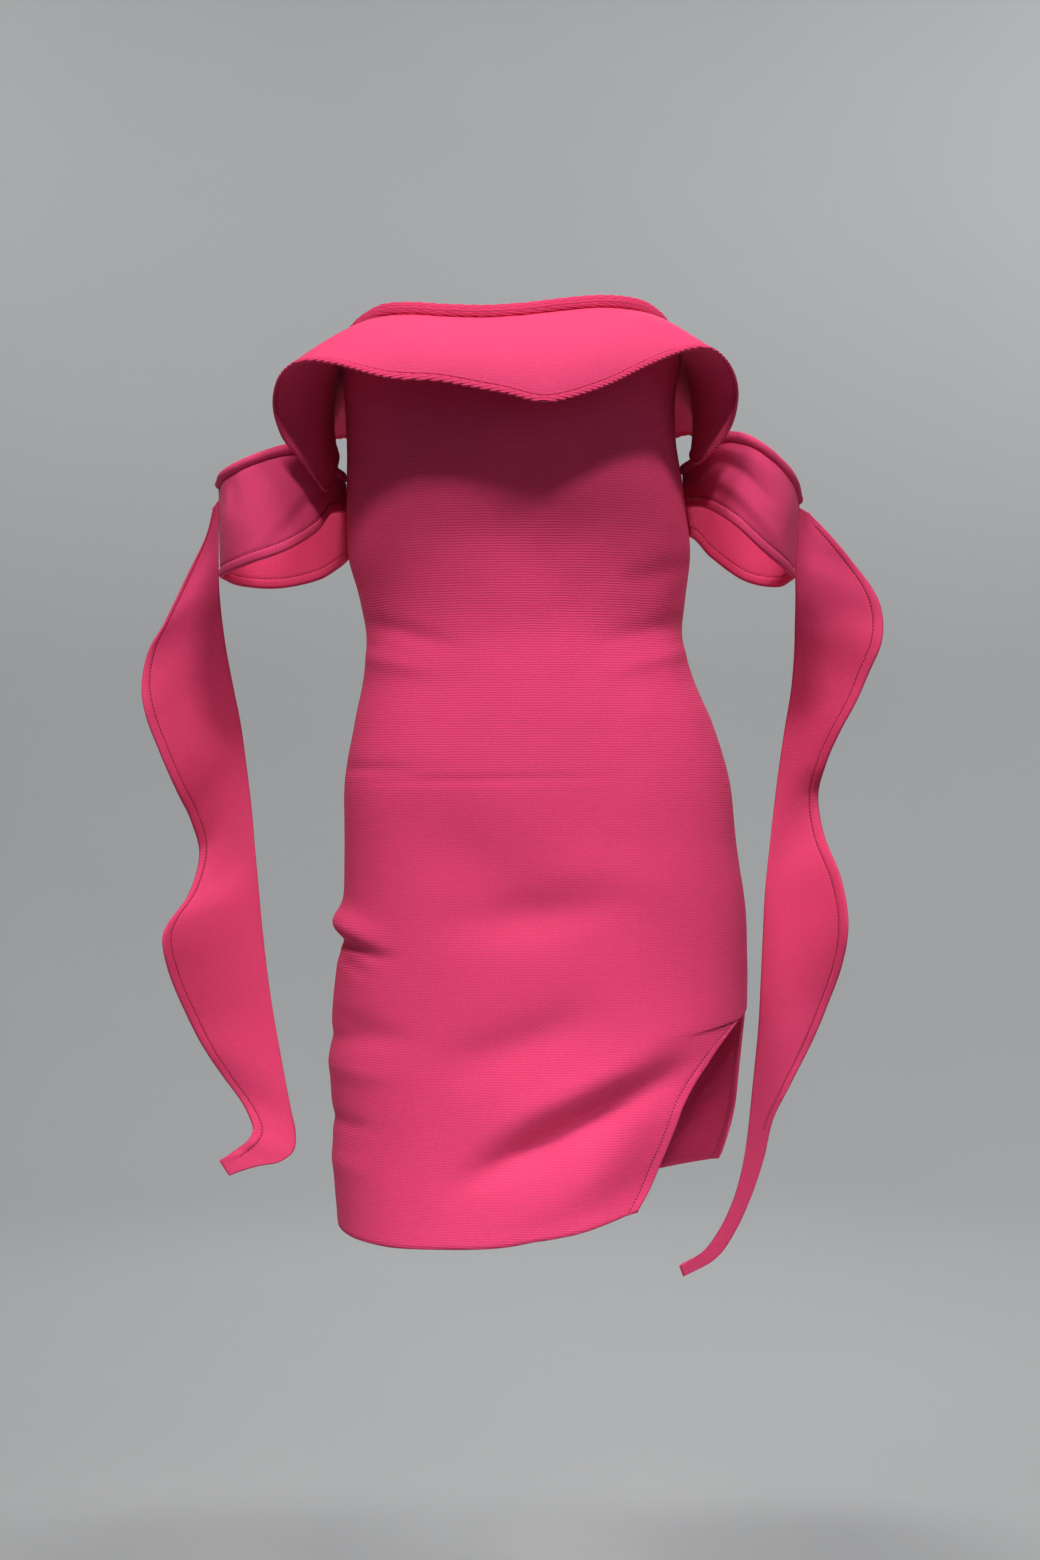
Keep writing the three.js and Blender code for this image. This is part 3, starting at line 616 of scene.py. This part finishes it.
def wall(name, shape, material):
    """Cloth with a thickness: its middle surface moved half the thickness to each side along the cross
    product of its slopes, and a rounded rim, one ring of points half a thickness beyond the edge."""
    p, thick, uv, _ = shape
    rows, columns = thick.shape
    across, down = unit(np.gradient(p, axis=1)), unit(np.gradient(p, axis=0))
    normal = unit(np.cross(across, down))
    half = (thick / 2)[..., None]
    n = rows * columns
    i = np.arange(n).reshape(rows, columns)
    a, b, c, d = i[:-1, :-1], i[:-1, 1:], i[1:, 1:], i[1:, :-1]
    loop = np.concatenate([i[0, :-1], i[:-1, -1], i[-1, :0:-1], i[:0:-1, 0]])
    beyond = np.zeros_like(p)
    beyond[0] -= down[0]
    beyond[-1] += down[-1]
    beyond[:, 0] -= across[:, 0]
    beyond[:, -1] += across[:, -1]
    rim = (p + unit(beyond) * half).reshape(-1, 3)[loop]
    sides = [(p + normal * half).reshape(-1, 3), (p - normal * half).reshape(-1, 3)]
    points = np.concatenate([*sides, rim])
    following = np.roll(loop, -1)
    ring = 2 * n + np.arange(len(loop))
    ring_following = np.roll(ring, -1)
    faces = np.concatenate([
        quads(a, b, c, d),
        quads(n + d, n + c, n + b, n + a),
        quads(loop, ring, ring_following, following),
        quads(ring, n + loop, n + following, ring_following),
    ])
    flat = uv.reshape(-1, 2)
    return make(name, points, faces.tolist(), np.concatenate([flat, flat, flat[loop]]), material)


def rod(name, centre, out, high, profile, uv, material, closed):
    """A profile carried along a path: each section is the path's point plus the profile's two numbers
    times two directions. A ring joins up with itself, and an open rod has a flat fan at each end."""
    points = centre[:, None] + out[:, None] * profile[..., :1] + high[:, None] * profile[..., 1:]
    rings, count = points.shape[:2]
    i = np.arange(rings * count).reshape(rings, count)
    nxt = np.roll(i, -1, axis=0) if closed else i[1:]
    cur = i if closed else i[:-1]
    faces = quads(np.roll(cur, -1, axis=1), cur, nxt, np.roll(nxt, -1, axis=1)).tolist()
    if not closed:
        faces += [i[0].tolist(), i[-1, ::-1].tolist()]
    return make(name, points.reshape(-1, 3), faces, uv.reshape(-1, 2), material)


def arc_length(p):
    """The distance walked along a path up to each of its points."""
    return np.concatenate([[0], np.cumsum(np.linalg.norm(np.diff(p, axis=0), axis=1))])


def stitches(name, rows, material, length, pitch, thick, shift, lift):
    """Rows of stitches: each is a spindle of three six-sided rings and two tips, a little flat, laid along
    a path at an even pitch. A row is its path and the cloth's normals there."""
    centre, along_path, up = [], [], []
    for path, normal in rows:
        walked = arc_length(path)
        at = np.arange(pitch * (0.5 + shift), walked[-1] - pitch / 2, pitch)
        here = np.stack([np.interp(at, walked, path[:, k]) for k in range(3)], -1)
        ahead = np.stack([np.interp(at + 0.5, walked, path[:, k]) for k in range(3)], -1)
        square = unit(np.stack([np.interp(at, walked, normal[:, k]) for k in range(3)], -1))
        centre.append(here + square * lift)
        along_path.append(unit(ahead - here))
        up.append(square)
    centre, t, n = np.concatenate(centre), np.concatenate(along_path), np.concatenate(up)
    b = np.cross(t, n)
    points = [centre - t * (length / 2)]
    sides = 6
    for place, round_ in ((-0.36, 0.75), (0, 1), (0.36, 0.75)):
        for turn in np.arange(sides) * 2 * np.pi / sides:
            side, rise = math.cos(turn) * round_ * thick, math.sin(turn) * round_ * thick * 0.8
            points.append(centre + t * (place * length) + b * side + n * rise)
    points.append(centre + t * (length / 2))
    points = np.stack(points, 1).reshape(-1, 3)
    pairs = [(k, (k + 1) % sides) for k in range(sides)]
    last_ring, tip = 1 + 2 * sides, 1 + 3 * sides
    one = [[0, 1 + y, 1 + x] for x, y in pairs]
    for ring in (1, 1 + sides):
        one += [[ring + x, ring + y, ring + sides + y, ring + sides + x] for x, y in pairs]
    one += [[last_ring + x, last_ring + y, tip] for x, y in pairs]
    start = (np.arange(len(centre)) * (tip + 1))[:, None]
    faces = [corners for face in one for corners in (start + np.array(face)).tolist()]
    return make(name, points, faces, points[:, [0, 2]], material)


def sewn_row(shape, wanted, face, down=False, rows=slice(None)):
    """The path over one face of a cloth on which the distance from its edge has one value, with the cloth's
    normals there. In each row of the grid, or each column, it is found between the points that hold it."""
    p, thick, _, from_edge = shape
    normal = unit(np.cross(np.gradient(p, axis=1), np.gradient(p, axis=0))) * face
    surface = p + normal * (thick / 2)[..., None]
    if down:
        surface, normal, from_edge = surface.swapaxes(0, 1), normal.swapaxes(0, 1), from_edge.T
    surface, normal, from_edge = surface[rows], normal[rows], from_edge[rows]
    i = np.clip((from_edge > wanted).sum(1) - 1, 0, from_edge.shape[1] - 2)
    r = np.arange(len(i))
    step = np.maximum(from_edge[r, i] - from_edge[r, i + 1], 1e-6)
    part = np.clip((from_edge[r, i] - wanted) / step, 0, 1)[:, None]
    return surface[r, i] * (1 - part) + surface[r, i + 1] * part, unit(normal[r, i])


class Nodes:
    """Short names for building a material's nodes."""

    def __init__(self, name):
        self.material = bpy.data.materials.new(name)
        self.material.use_nodes = True
        self.tree = self.material.node_tree
        self.shader = self.tree.nodes["Principled BSDF"]

    def add(self, kind, **values):
        node = self.tree.nodes.new(kind)
        for key, value in values.items():
            setattr(node, key, value)
        return node

    def link(self, a, b):
        self.tree.links.new(a, b)

    def math(self, operation, a, b=None, c=None):
        """One Math node; each input is a socket or a number."""
        node = self.add("ShaderNodeMath", operation=operation)
        for socket, value in zip(node.inputs, (a, b, c)):
            if value is None:
                continue
            if isinstance(value, (int, float)):
                socket.default_value = value
            else:
                self.link(value, socket)
        return node.outputs[0]

    def noise(self, coordinates, scale, detail=2.0, roughness=0.5):
        """Noise between 0 and 1."""
        node = self.add("ShaderNodeTexNoise")
        node.inputs["Scale"].default_value = scale
        node.inputs["Detail"].default_value = detail
        node.inputs["Roughness"].default_value = roughness
        self.link(coordinates, node.inputs["Vector"])
        return node.outputs["Fac"]

    def ramp(self, factor, stops):
        """Colours at places along a factor."""
        node = self.add("ShaderNodeValToRGB")
        ramp = node.color_ramp
        while len(ramp.elements) < len(stops):
            ramp.elements.new(0.5)
        for element, (place, colour) in zip(ramp.elements, stops):
            element.position = place
            element.color = (*colour, 1)
        self.link(factor, node.inputs["Fac"])
        return node.outputs["Color"]

    def mix(self, factor, a, b, blend="MIX"):
        """Two colours mixed by a factor."""
        node = self.add("ShaderNodeMix", data_type="RGBA", blend_type=blend)
        for name, value in (("Factor", factor), ("A", a), ("B", b)):
            socket = node.inputs[name]
            if isinstance(value, (int, float)):
                socket.default_value = value
            elif isinstance(value, tuple):
                socket.default_value = (*value, 1)
            else:
                self.link(value, socket)
        return node.outputs["Result"]

    def bump(self, height, distance, strength, under=None):
        """A bump of some metres for heights from 0 to 1."""
        node = self.add("ShaderNodeBump")
        node.inputs["Distance"].default_value = distance
        node.inputs["Strength"].default_value = strength
        self.link(height, node.inputs["Height"])
        if under is not None:
            self.link(under, node.inputs["Normal"])
        return node.outputs["Normal"]


def knit(name, light, groove_shade_colour, rib, stitch, relief, sheen):
    """Knitted cloth on the piece's own UV, in metres of cloth. Ribs are a sine down the cloth, the loops in
    them a sine across it that is half a stitch out in every other rib; both give the bump, and the colour
    ramp paints shade into the grooves, from the light colour on the ridges to the dark colour in the
    grooves. Noise makes the yarn uneven, mottles the colour softly and gives it a grain."""
    m = Nodes(name)
    uv = m.add("ShaderNodeUVMap", uv_map="cloth").outputs["UV"]
    place = m.add("ShaderNodeTexCoord").outputs["Object"]
    split = m.add("ShaderNodeSeparateXYZ")
    m.link(uv, split.inputs[0])
    across, down = split.outputs["X"], split.outputs["Y"]
    waver = m.math("MULTIPLY", m.math("SUBTRACT", m.noise(place, 60, 3), 0.5), rib * 0.8)
    ribs = m.math("DIVIDE", m.math("ADD", down, waver), rib)
    rib_wave = m.math("SINE", m.math("MULTIPLY", ribs, 2 * math.pi))
    odd = m.math("MODULO", m.math("ABSOLUTE", m.math("FLOOR", ribs)), 2.0)
    loops = m.math("ADD", m.math("DIVIDE", across, stitch), m.math("MULTIPLY", odd, 0.5))
    loop_wave = m.math("SINE", m.math("MULTIPLY", loops, 2 * math.pi))
    ridges = m.math("MULTIPLY_ADD", rib_wave, 0.32, 0.5)
    relief_shape = m.math("ADD", ridges, m.math("MULTIPLY", loop_wave, 0.16))
    yarn = m.noise(place, 900, 2, 0.7)
    height = m.math("MULTIPLY_ADD", yarn, 0.25, relief_shape)
    # Painted shade: the ramp darkens the grooves between ribs and loops, and the yarn noise varies the tone
    # at random.
    groove_shade_and_yarn_tone = m.ramp(height, [(0.25, groove_shade_colour), (0.95, light)])
    mottle = m.ramp(m.noise(place, 9, 4, 0.6), [(0.3, (0.93, 0.93, 0.93)), (0.7, (1.0, 1.0, 1.0))])
    grain = m.ramp(m.noise(place, 450, 2, 0.6), [(0.3, (0.92, 0.92, 0.92)), (0.7, (1.0, 1.0, 1.0))])
    mottled = m.mix(1.0, m.mix(1.0, groove_shade_and_yarn_tone, mottle, "MULTIPLY"), grain, "MULTIPLY")
    m.link(mottled, m.shader.inputs["Base Color"])
    m.link(m.math("MULTIPLY_ADD", yarn, 0.12, 0.76), m.shader.inputs["Roughness"])
    pull = m.bump(m.noise(place, 26, 3), 0.004, 0.12)
    m.link(m.bump(height, relief, 0.9, pull), m.shader.inputs["Normal"])
    m.shader.inputs["Specular IOR Level"].default_value = 0.15
    m.shader.inputs["Sheen Weight"].default_value = sheen
    m.shader.inputs["Sheen Roughness"].default_value = 0.45
    m.shader.inputs["Sheen Tint"].default_value = (1.0, 0.55, 0.68, 1)
    return m.material


def yarn_thread(name, light, groove_shade_colour):
    """Sewing thread: two plies twisted along it, a sine over the place that gives the bump and paints shade
    between the plies, with a soft satin shine.
    """
    m = Nodes(name)
    place = m.add("ShaderNodeTexCoord").outputs["Object"]
    split = m.add("ShaderNodeSeparateXYZ")
    m.link(place, split.inputs[0])
    total = m.math("ADD", m.math("ADD", split.outputs["X"], split.outputs["Y"]), split.outputs["Z"])
    twist = m.math("MULTIPLY_ADD", m.math("SINE", m.math("MULTIPLY", total, 9000.0)), 0.5, 0.5)
    # Painted shade: the colour is darker in the grooves between the plies.
    m.link(m.ramp(twist, [(0.1, groove_shade_colour), (0.9, light)]), m.shader.inputs["Base Color"])
    m.link(m.bump(twist, 0.0002, 0.6), m.shader.inputs["Normal"])
    m.shader.inputs["Roughness"].default_value = 0.5
    m.shader.inputs["Specular IOR Level"].default_value = 0.4
    return m.material


def plain(name, colour, roughness):
    """Painted plaster: one pale colour with faint soft clouds and a fine grain."""
    m = Nodes(name)
    place = m.add("ShaderNodeTexCoord").outputs["Object"]
    dim = tuple(0.96 * c for c in colour)
    m.link(m.ramp(m.noise(place, 0.7, 3), [(0.35, dim), (0.65, colour)]), m.shader.inputs["Base Color"])
    m.link(m.bump(m.noise(place, 300, 2), 0.0005, 0.1), m.shader.inputs["Normal"])
    m.shader.inputs["Roughness"].default_value = roughness
    return m.material


# Finishes, with their pitches and reliefs in metres. Each one's dark colour is painted shade in the grooves
# of its ribs, loops or plies.
ribbed = knit(
    "ribbed_knit", light=(0.89, 0.066, 0.200), groove_shade_colour=(0.76, 0.051, 0.163),
    rib=RIB_PITCH * MM, stitch=0.0026, relief=0.0003, sheen=0.05,
)
binding_knit = knit(
    "binding_knit", light=(0.85, 0.060, 0.180), groove_shade_colour=(0.60, 0.032, 0.112),
    rib=0.0012, stitch=0.0014, relief=0.0002, sheen=0.08,
)
smooth = knit(
    "smooth_knit", light=(0.85, 0.070, 0.200), groove_shade_colour=(0.76, 0.052, 0.160),
    rib=0.0010, stitch=0.0012, relief=0.00012, sheen=0.1,
)
thread = yarn_thread("pink_thread", light=(0.80, 0.050, 0.15), groove_shade_colour=(0.42, 0.018, 0.07))
# Painted shade of the needle holes: near-black colours for spindles sunk into the cloth between the
# stitches.
pit_shade = yarn_thread("painted_pit_shade", light=(0.16, 0.006, 0.022), groove_shade_colour=(0.09, 0.003, 0.012))


def stand_for(piece, node):
    """Hides the solid that a piece replaces."""
    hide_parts(node)


def declare(piece, node):
    """Hides the solid that a sheet of cloth replaces."""
    stand_for(piece, node)


def section_ring(thickness, height, power, count):
    """A binding's section: an oval squared off by raising the cos and the sin of its angle to a power."""
    angle = np.linspace(0, 2 * np.pi, count, endpoint=False)
    c, s = (np.sign(w) * np.abs(w) ** power for w in (np.cos(angle), np.sin(angle)))
    return angle, np.stack([thickness / 2 * c, height / 2 * s], -1)


def strand(phase, depth):
    """Rounded strands side by side: the height of a sine's size below its crest, so crests are round and
    the grooves between them sharp."""
    return depth * (np.abs(np.cos(np.pi * phase)) - 1)


def neckline_binding():
    """Neckline binding: a rounded flat section carried round the neckline, upright. Its knit is cut on the
    slant, so strands climb the section as they run along, more steeply at the right of the front. Their
    climb all round is brought to a whole number of strands, so that they meet."""
    steps, sides = 1150, ("front", "back")
    t = np.arange(steps) / steps
    front = t < 0.5
    share = np.where(front, 2 * t, 2 - 2 * t)
    z = np.where(front, *(along(NECKLINE[side], "share", "z", share) for side in sides))
    z = z - BINDING_HEIGHT / 2
    centre = np.where(front[:, None], *(figure(side, share, z) for side in sides))
    tangent = np.roll(centre, -2, axis=0) - np.roll(centre, 2, axis=0)
    out = unit(np.cross(tangent * [1, 1, 0], [0, 0, 1]))
    angle, ring = section_ring(BINDING_THICKNESS, BINDING_HEIGHT, power=0.7, count=40)
    walked = arc_length(centre)
    steep = 0.2 + 0.35 * np.exp(-(((t - 0.40) / 0.04) ** 2))
    climb = np.cumsum(steep) * (walked[-1] / steps)
    climb *= round(climb[-1] / NECKLINE_STRANDS) * NECKLINE_STRANDS / climb[-1]
    rise = strand((climb[:, None] + ring[None, :, 1]) / NECKLINE_STRANDS, depth=0.5)
    profile = ring[None] + unit(ring)[None] * rise[..., None]
    uv = np.stack(np.broadcast_arrays(walked[:, None], angle[None] * 4), -1)
    highs = np.broadcast_to([0.0, 0.0, 1.0], centre.shape)
    return rod("binding_at_neckline", centre, out, highs, profile, uv, binding_knit, True)


def edge_binding(side, columns):
    """Edge binding of the flounce: a rounded section along the flounce's edge, thinner where it meets the
    cloth. Its strands stay almost level while the edge climbs and falls, so they cross it on the slant."""
    p = flounce(side, columns, 40, end=0.0)[0]
    edge, before = p[-1], p[-2]
    high = unit(edge - before)
    walk = unit(np.gradient(edge, axis=0))
    out = unit(np.cross(walk, high))
    angle, ring = section_ring(EDGE_BINDING_THICKNESS, EDGE_BINDING_WIDTH, power=0.75, count=32)
    ring[:, 1] -= EDGE_BINDING_WIDTH / 2
    outer = 1 + ring[:, 1] / EDGE_BINDING_WIDTH
    ring[:, 0] *= 0.6 + 0.4 * outer
    walked = arc_length(edge)
    slope = walk[:, 2]
    climb = np.cumsum((slope + 0.14 * np.tanh(slope / 0.05)) * np.gradient(walked))
    phase = (climb[:, None] - 0.85 * ring[None, :, 1]) / EDGE_STRANDS
    rise = strand(phase, depth=0.95) * (0.4 + 0.6 * outer)
    middle = np.array([0, -EDGE_BINDING_WIDTH / 2])
    profile = ring[None] + unit(ring - middle)[None] * rise[..., None]
    uv = np.stack(np.broadcast_arrays(walked[:, None], angle[None] * 3), -1)
    return rod(f"flounce_edge_{side}", edge, out, high, profile, uv, binding_knit, False)


def band_roll(arm):
    """Rolled top edge of an arm band: a round section along the band's top curve, from where it is sewn to
    the dress in front, round the outer seam and on to the back. Two sines vary its radius a little."""
    front, back = band(arm, "front", 120, 2)[0][0], band(arm, "back", 120, 2)[0][0]
    path = np.concatenate([front[::-1], back])
    path[:, 2] += BAND_ROLL_RADIUS + SEAM_GAP
    path = keep_outside(path, arm, BAND_ROLL_RADIUS + 1.5)
    tangent = unit(np.gradient(path, axis=0))
    up = np.array([0.0, 0.0, 1.0])
    out = unit(np.cross(tangent * [1, 1, 0], up))
    high = unit(np.cross(out, tangent))
    angle = np.linspace(0, 2 * np.pi, 20, endpoint=False)
    walked = arc_length(path)
    radius = BAND_ROLL_RADIUS * (1 + 0.03 * np.sin(walked / 9) + 0.02 * np.sin(walked / 3.7 + 1))
    ring = np.stack([np.cos(angle), np.sin(angle)], -1)[None] * radius[:, None, None]
    uv = np.stack(np.broadcast_arrays(walked[:, None], angle[None] * BAND_ROLL_RADIUS), -1)
    return rod(f"band_roll_{arm}", path, out, high, ring, uv, smooth, False)


# The pieces, and the rows of stitches along their turned edges.
shapes = {"front": panel("front", 190, 240), "back": panel("back", 140, 180)}
panels = {side: wall(f"{side}_panel", shapes[side], ribbed) for side in ("front", "back")}
stand_for(neckline_binding(), "neckline_binding")
flounces, bands, tails, sewn = {}, {}, {}, []
for side, columns, binding_columns in (("front", 320, 1200), ("back", 240, 700)):
    flounces[side] = wall(f"flounce_{side}", flounce(side, columns, 38), smooth)
    stand_for(edge_binding(side, binding_columns), f"flounce_edge_binding_{side}")
for arm in ("left", "right"):
    stand_for(band_roll(arm), f"arm_band_roll_{arm}")
    for side in ("front", "back"):
        shape = band(arm, side, 60, 50)
        bands[arm, side] = wall(f"arm_band_{side}_{arm}_cloth", shape, smooth)
        sewn += [sewn_row(shape, BAND_TURNING, face, down=True, rows=slice(2, -2)) for face in (1, -1)]
    shape = hanging(arm, 44, 260)
    tails[arm] = wall(f"hanging_{arm}", shape, smooth)
    wide = shape[3][:, 0]
    top_row, first, least_width = 8, 60, 20
    wide_enough = slice(top_row, first + int(np.argmax(wide[first:] < least_width)))
    sewn += [sewn_row(shape, FRILL_TURNING, face, rows=wide_enough) for face in (1, -1)]
for side, face in (("front", 1), ("front", -1), ("back", 1), ("back", -1)):
    below = shapes[side][0][:, -1, 2] < SLIT_TOP_Z - 5
    sewn.append(sewn_row(shapes[side], SLIT_TURNING, face, rows=slice(int(np.argmax(below)), None)))
# The second set is no thread: dark spindles sunk between the stitches paint the shade of the needle holes.
for name, material, length, thick, shift, lift in (
    ("hem_stitches", thread, 1.8, 0.42, 0, 0.12),
    ("painted_pit_shades", pit_shade, 1.5, 0.85, 0.5, -0.22),
):
    stitches(name, sewn, material, length, STITCH_PITCH, thick, shift, lift)

for side in ("front", "back"):
    declare(panels[side], f"body_{side}")
for side in ("front", "back"):
    declare(flounces[side], f"bust_flounce_{side}")
    for arm in ("left", "right"):
        declare(bands[arm, side], f"arm_band_{side}_{arm}")
for arm in ("left", "right"):
    declare(tails[arm], f"hanging_flounce_{arm}")


def backdrop():
    """Bowl of a studio, in metres: a flat floor that bends up in a quarter circle into a round wall, a
    curve of radius and height turned about the upright axis."""
    floor_z, floor_rings, bend_from, bend_radius, steps_round = -1.32, 8, 3.5, 1.3, 96
    bend = np.linspace(0, np.pi / 2, 17)
    floor = np.linspace(0.4, bend_from - 0.3, floor_rings)
    wall_radius, wall_heights = bend_from + bend_radius, [2.4, 3.6]
    radius = np.concatenate([floor, bend_from + bend_radius * np.sin(bend), [wall_radius] * 2])
    rise = np.concatenate([np.zeros(floor_rings), bend_radius * (1 - np.cos(bend)), wall_heights])
    turn = np.linspace(0, 2 * np.pi, steps_round, endpoint=False)
    x, y, z = radius[:, None] * np.cos(turn), radius[:, None] * np.sin(turn), rise[:, None] + floor_z
    ring = np.stack(np.broadcast_arrays(x, y, z), -1)
    points = np.concatenate([[[0, 0, floor_z]], ring.reshape(-1, 3)])
    i = 1 + np.arange(ring.shape[0] * steps_round).reshape(-1, steps_round)
    j = np.roll(i, -1, axis=1)
    faces = quads(i[:-1], i[1:], j[1:], j[:-1]).tolist()
    faces += np.stack([np.zeros(steps_round, int), i[0], j[0]], -1).tolist()
    mesh = bpy.data.meshes.new("studio")
    mesh.from_pydata(points.tolist(), [], faces)
    mesh.polygons.foreach_set("use_smooth", np.ones(len(mesh.polygons), bool))
    mesh.materials.append(plain("pale_paint", (0.52, 0.53, 0.54), 0.8))
    obj = bpy.data.objects.new("studio", mesh)
    bpy.context.collection.objects.link(obj)


def lamp(name, place, aim, size, power, colour=(1, 1, 1), spread=180):
    """An oblong soft lamp at a place, turned to face its aim."""
    light = bpy.data.lights.new(name, "AREA")
    light.shape, light.energy, light.color = "RECTANGLE", power, colour
    light.size, light.size_y = size
    light.spread = math.radians(spread)
    obj = bpy.data.objects.new(name, light)
    obj.location = place
    obj.rotation_euler = (Vector(aim) - Vector(place)).to_track_quat("-Z", "Y").to_euler()
    bpy.context.collection.objects.link(obj)


# Two lamps high in front throw the flounce's shadow; the low one lights the skirt, two fill the sides, one
# lights the back, and two the wall. Places and sizes in metres, powers in watts, spreads in degrees.
WARM_WHITE = (1.0, 0.99, 0.97)
MIDDLE, LOWER_MIDDLE, SKIRT = (0, 0, -0.3), (0, 0, -0.34), (0, 0, -0.85)
backdrop()
lamp("key_left", (-0.5, -1.45, 1.82), LOWER_MIDDLE, (0.5, 0.16), 18.8, WARM_WHITE, spread=120)
lamp("key_right", (0.55, -1.45, 1.82), LOWER_MIDDLE, (0.5, 0.16), 16, WARM_WHITE, spread=120)
lamp("low", (0.3, -2.6, 0.9), SKIRT, (0.4, 0.25), 0.48, spread=14)
lamp("fill_left", (-2.4, -1.0, 0.8), MIDDLE, (1.4, 1.4), 0.5)
lamp("fill_right", (2.2, -1.2, 0.8), MIDDLE, (1.4, 1.4), 3)
lamp("behind", (0.4, 2.6, 1.6), MIDDLE, (1.2, 1.2), 26)
lamp("wall_left", (-1.6, 2.2, 2.2), (-1.2, 4.8, 0.2), (1.5, 0.6), 33)
lamp("wall_right", (1.6, 2.2, 2.2), (1.2, 4.8, 0.2), (1.5, 0.6), 46)
world = bpy.data.worlds.new("soft_sky")
world.use_nodes = True
world.node_tree.nodes["Background"].inputs["Color"].default_value = (0.94, 0.97, 1.0, 1)
world.node_tree.nodes["Background"].inputs["Strength"].default_value = 0.03
bpy.context.scene.world = world
bpy.context.scene.view_settings.view_transform = "Standard"

# The lens: the distance in pixels at which the photograph's frame spans its view, on a 36 mm sensor.
SENSOR, VIEW_DISTANCE, FRAME_HEIGHT = 36, 2176, 1560
camera_data = bpy.data.cameras.new("camera")
camera_data.lens = SENSOR * VIEW_DISTANCE / FRAME_HEIGHT
camera = bpy.data.objects.new("camera", camera_data)
camera.location = (0.003, -1.7, -0.34)
camera.rotation_euler = (math.pi / 2, 0, 0)
bpy.context.collection.objects.link(camera)
bpy.context.scene.camera = camera
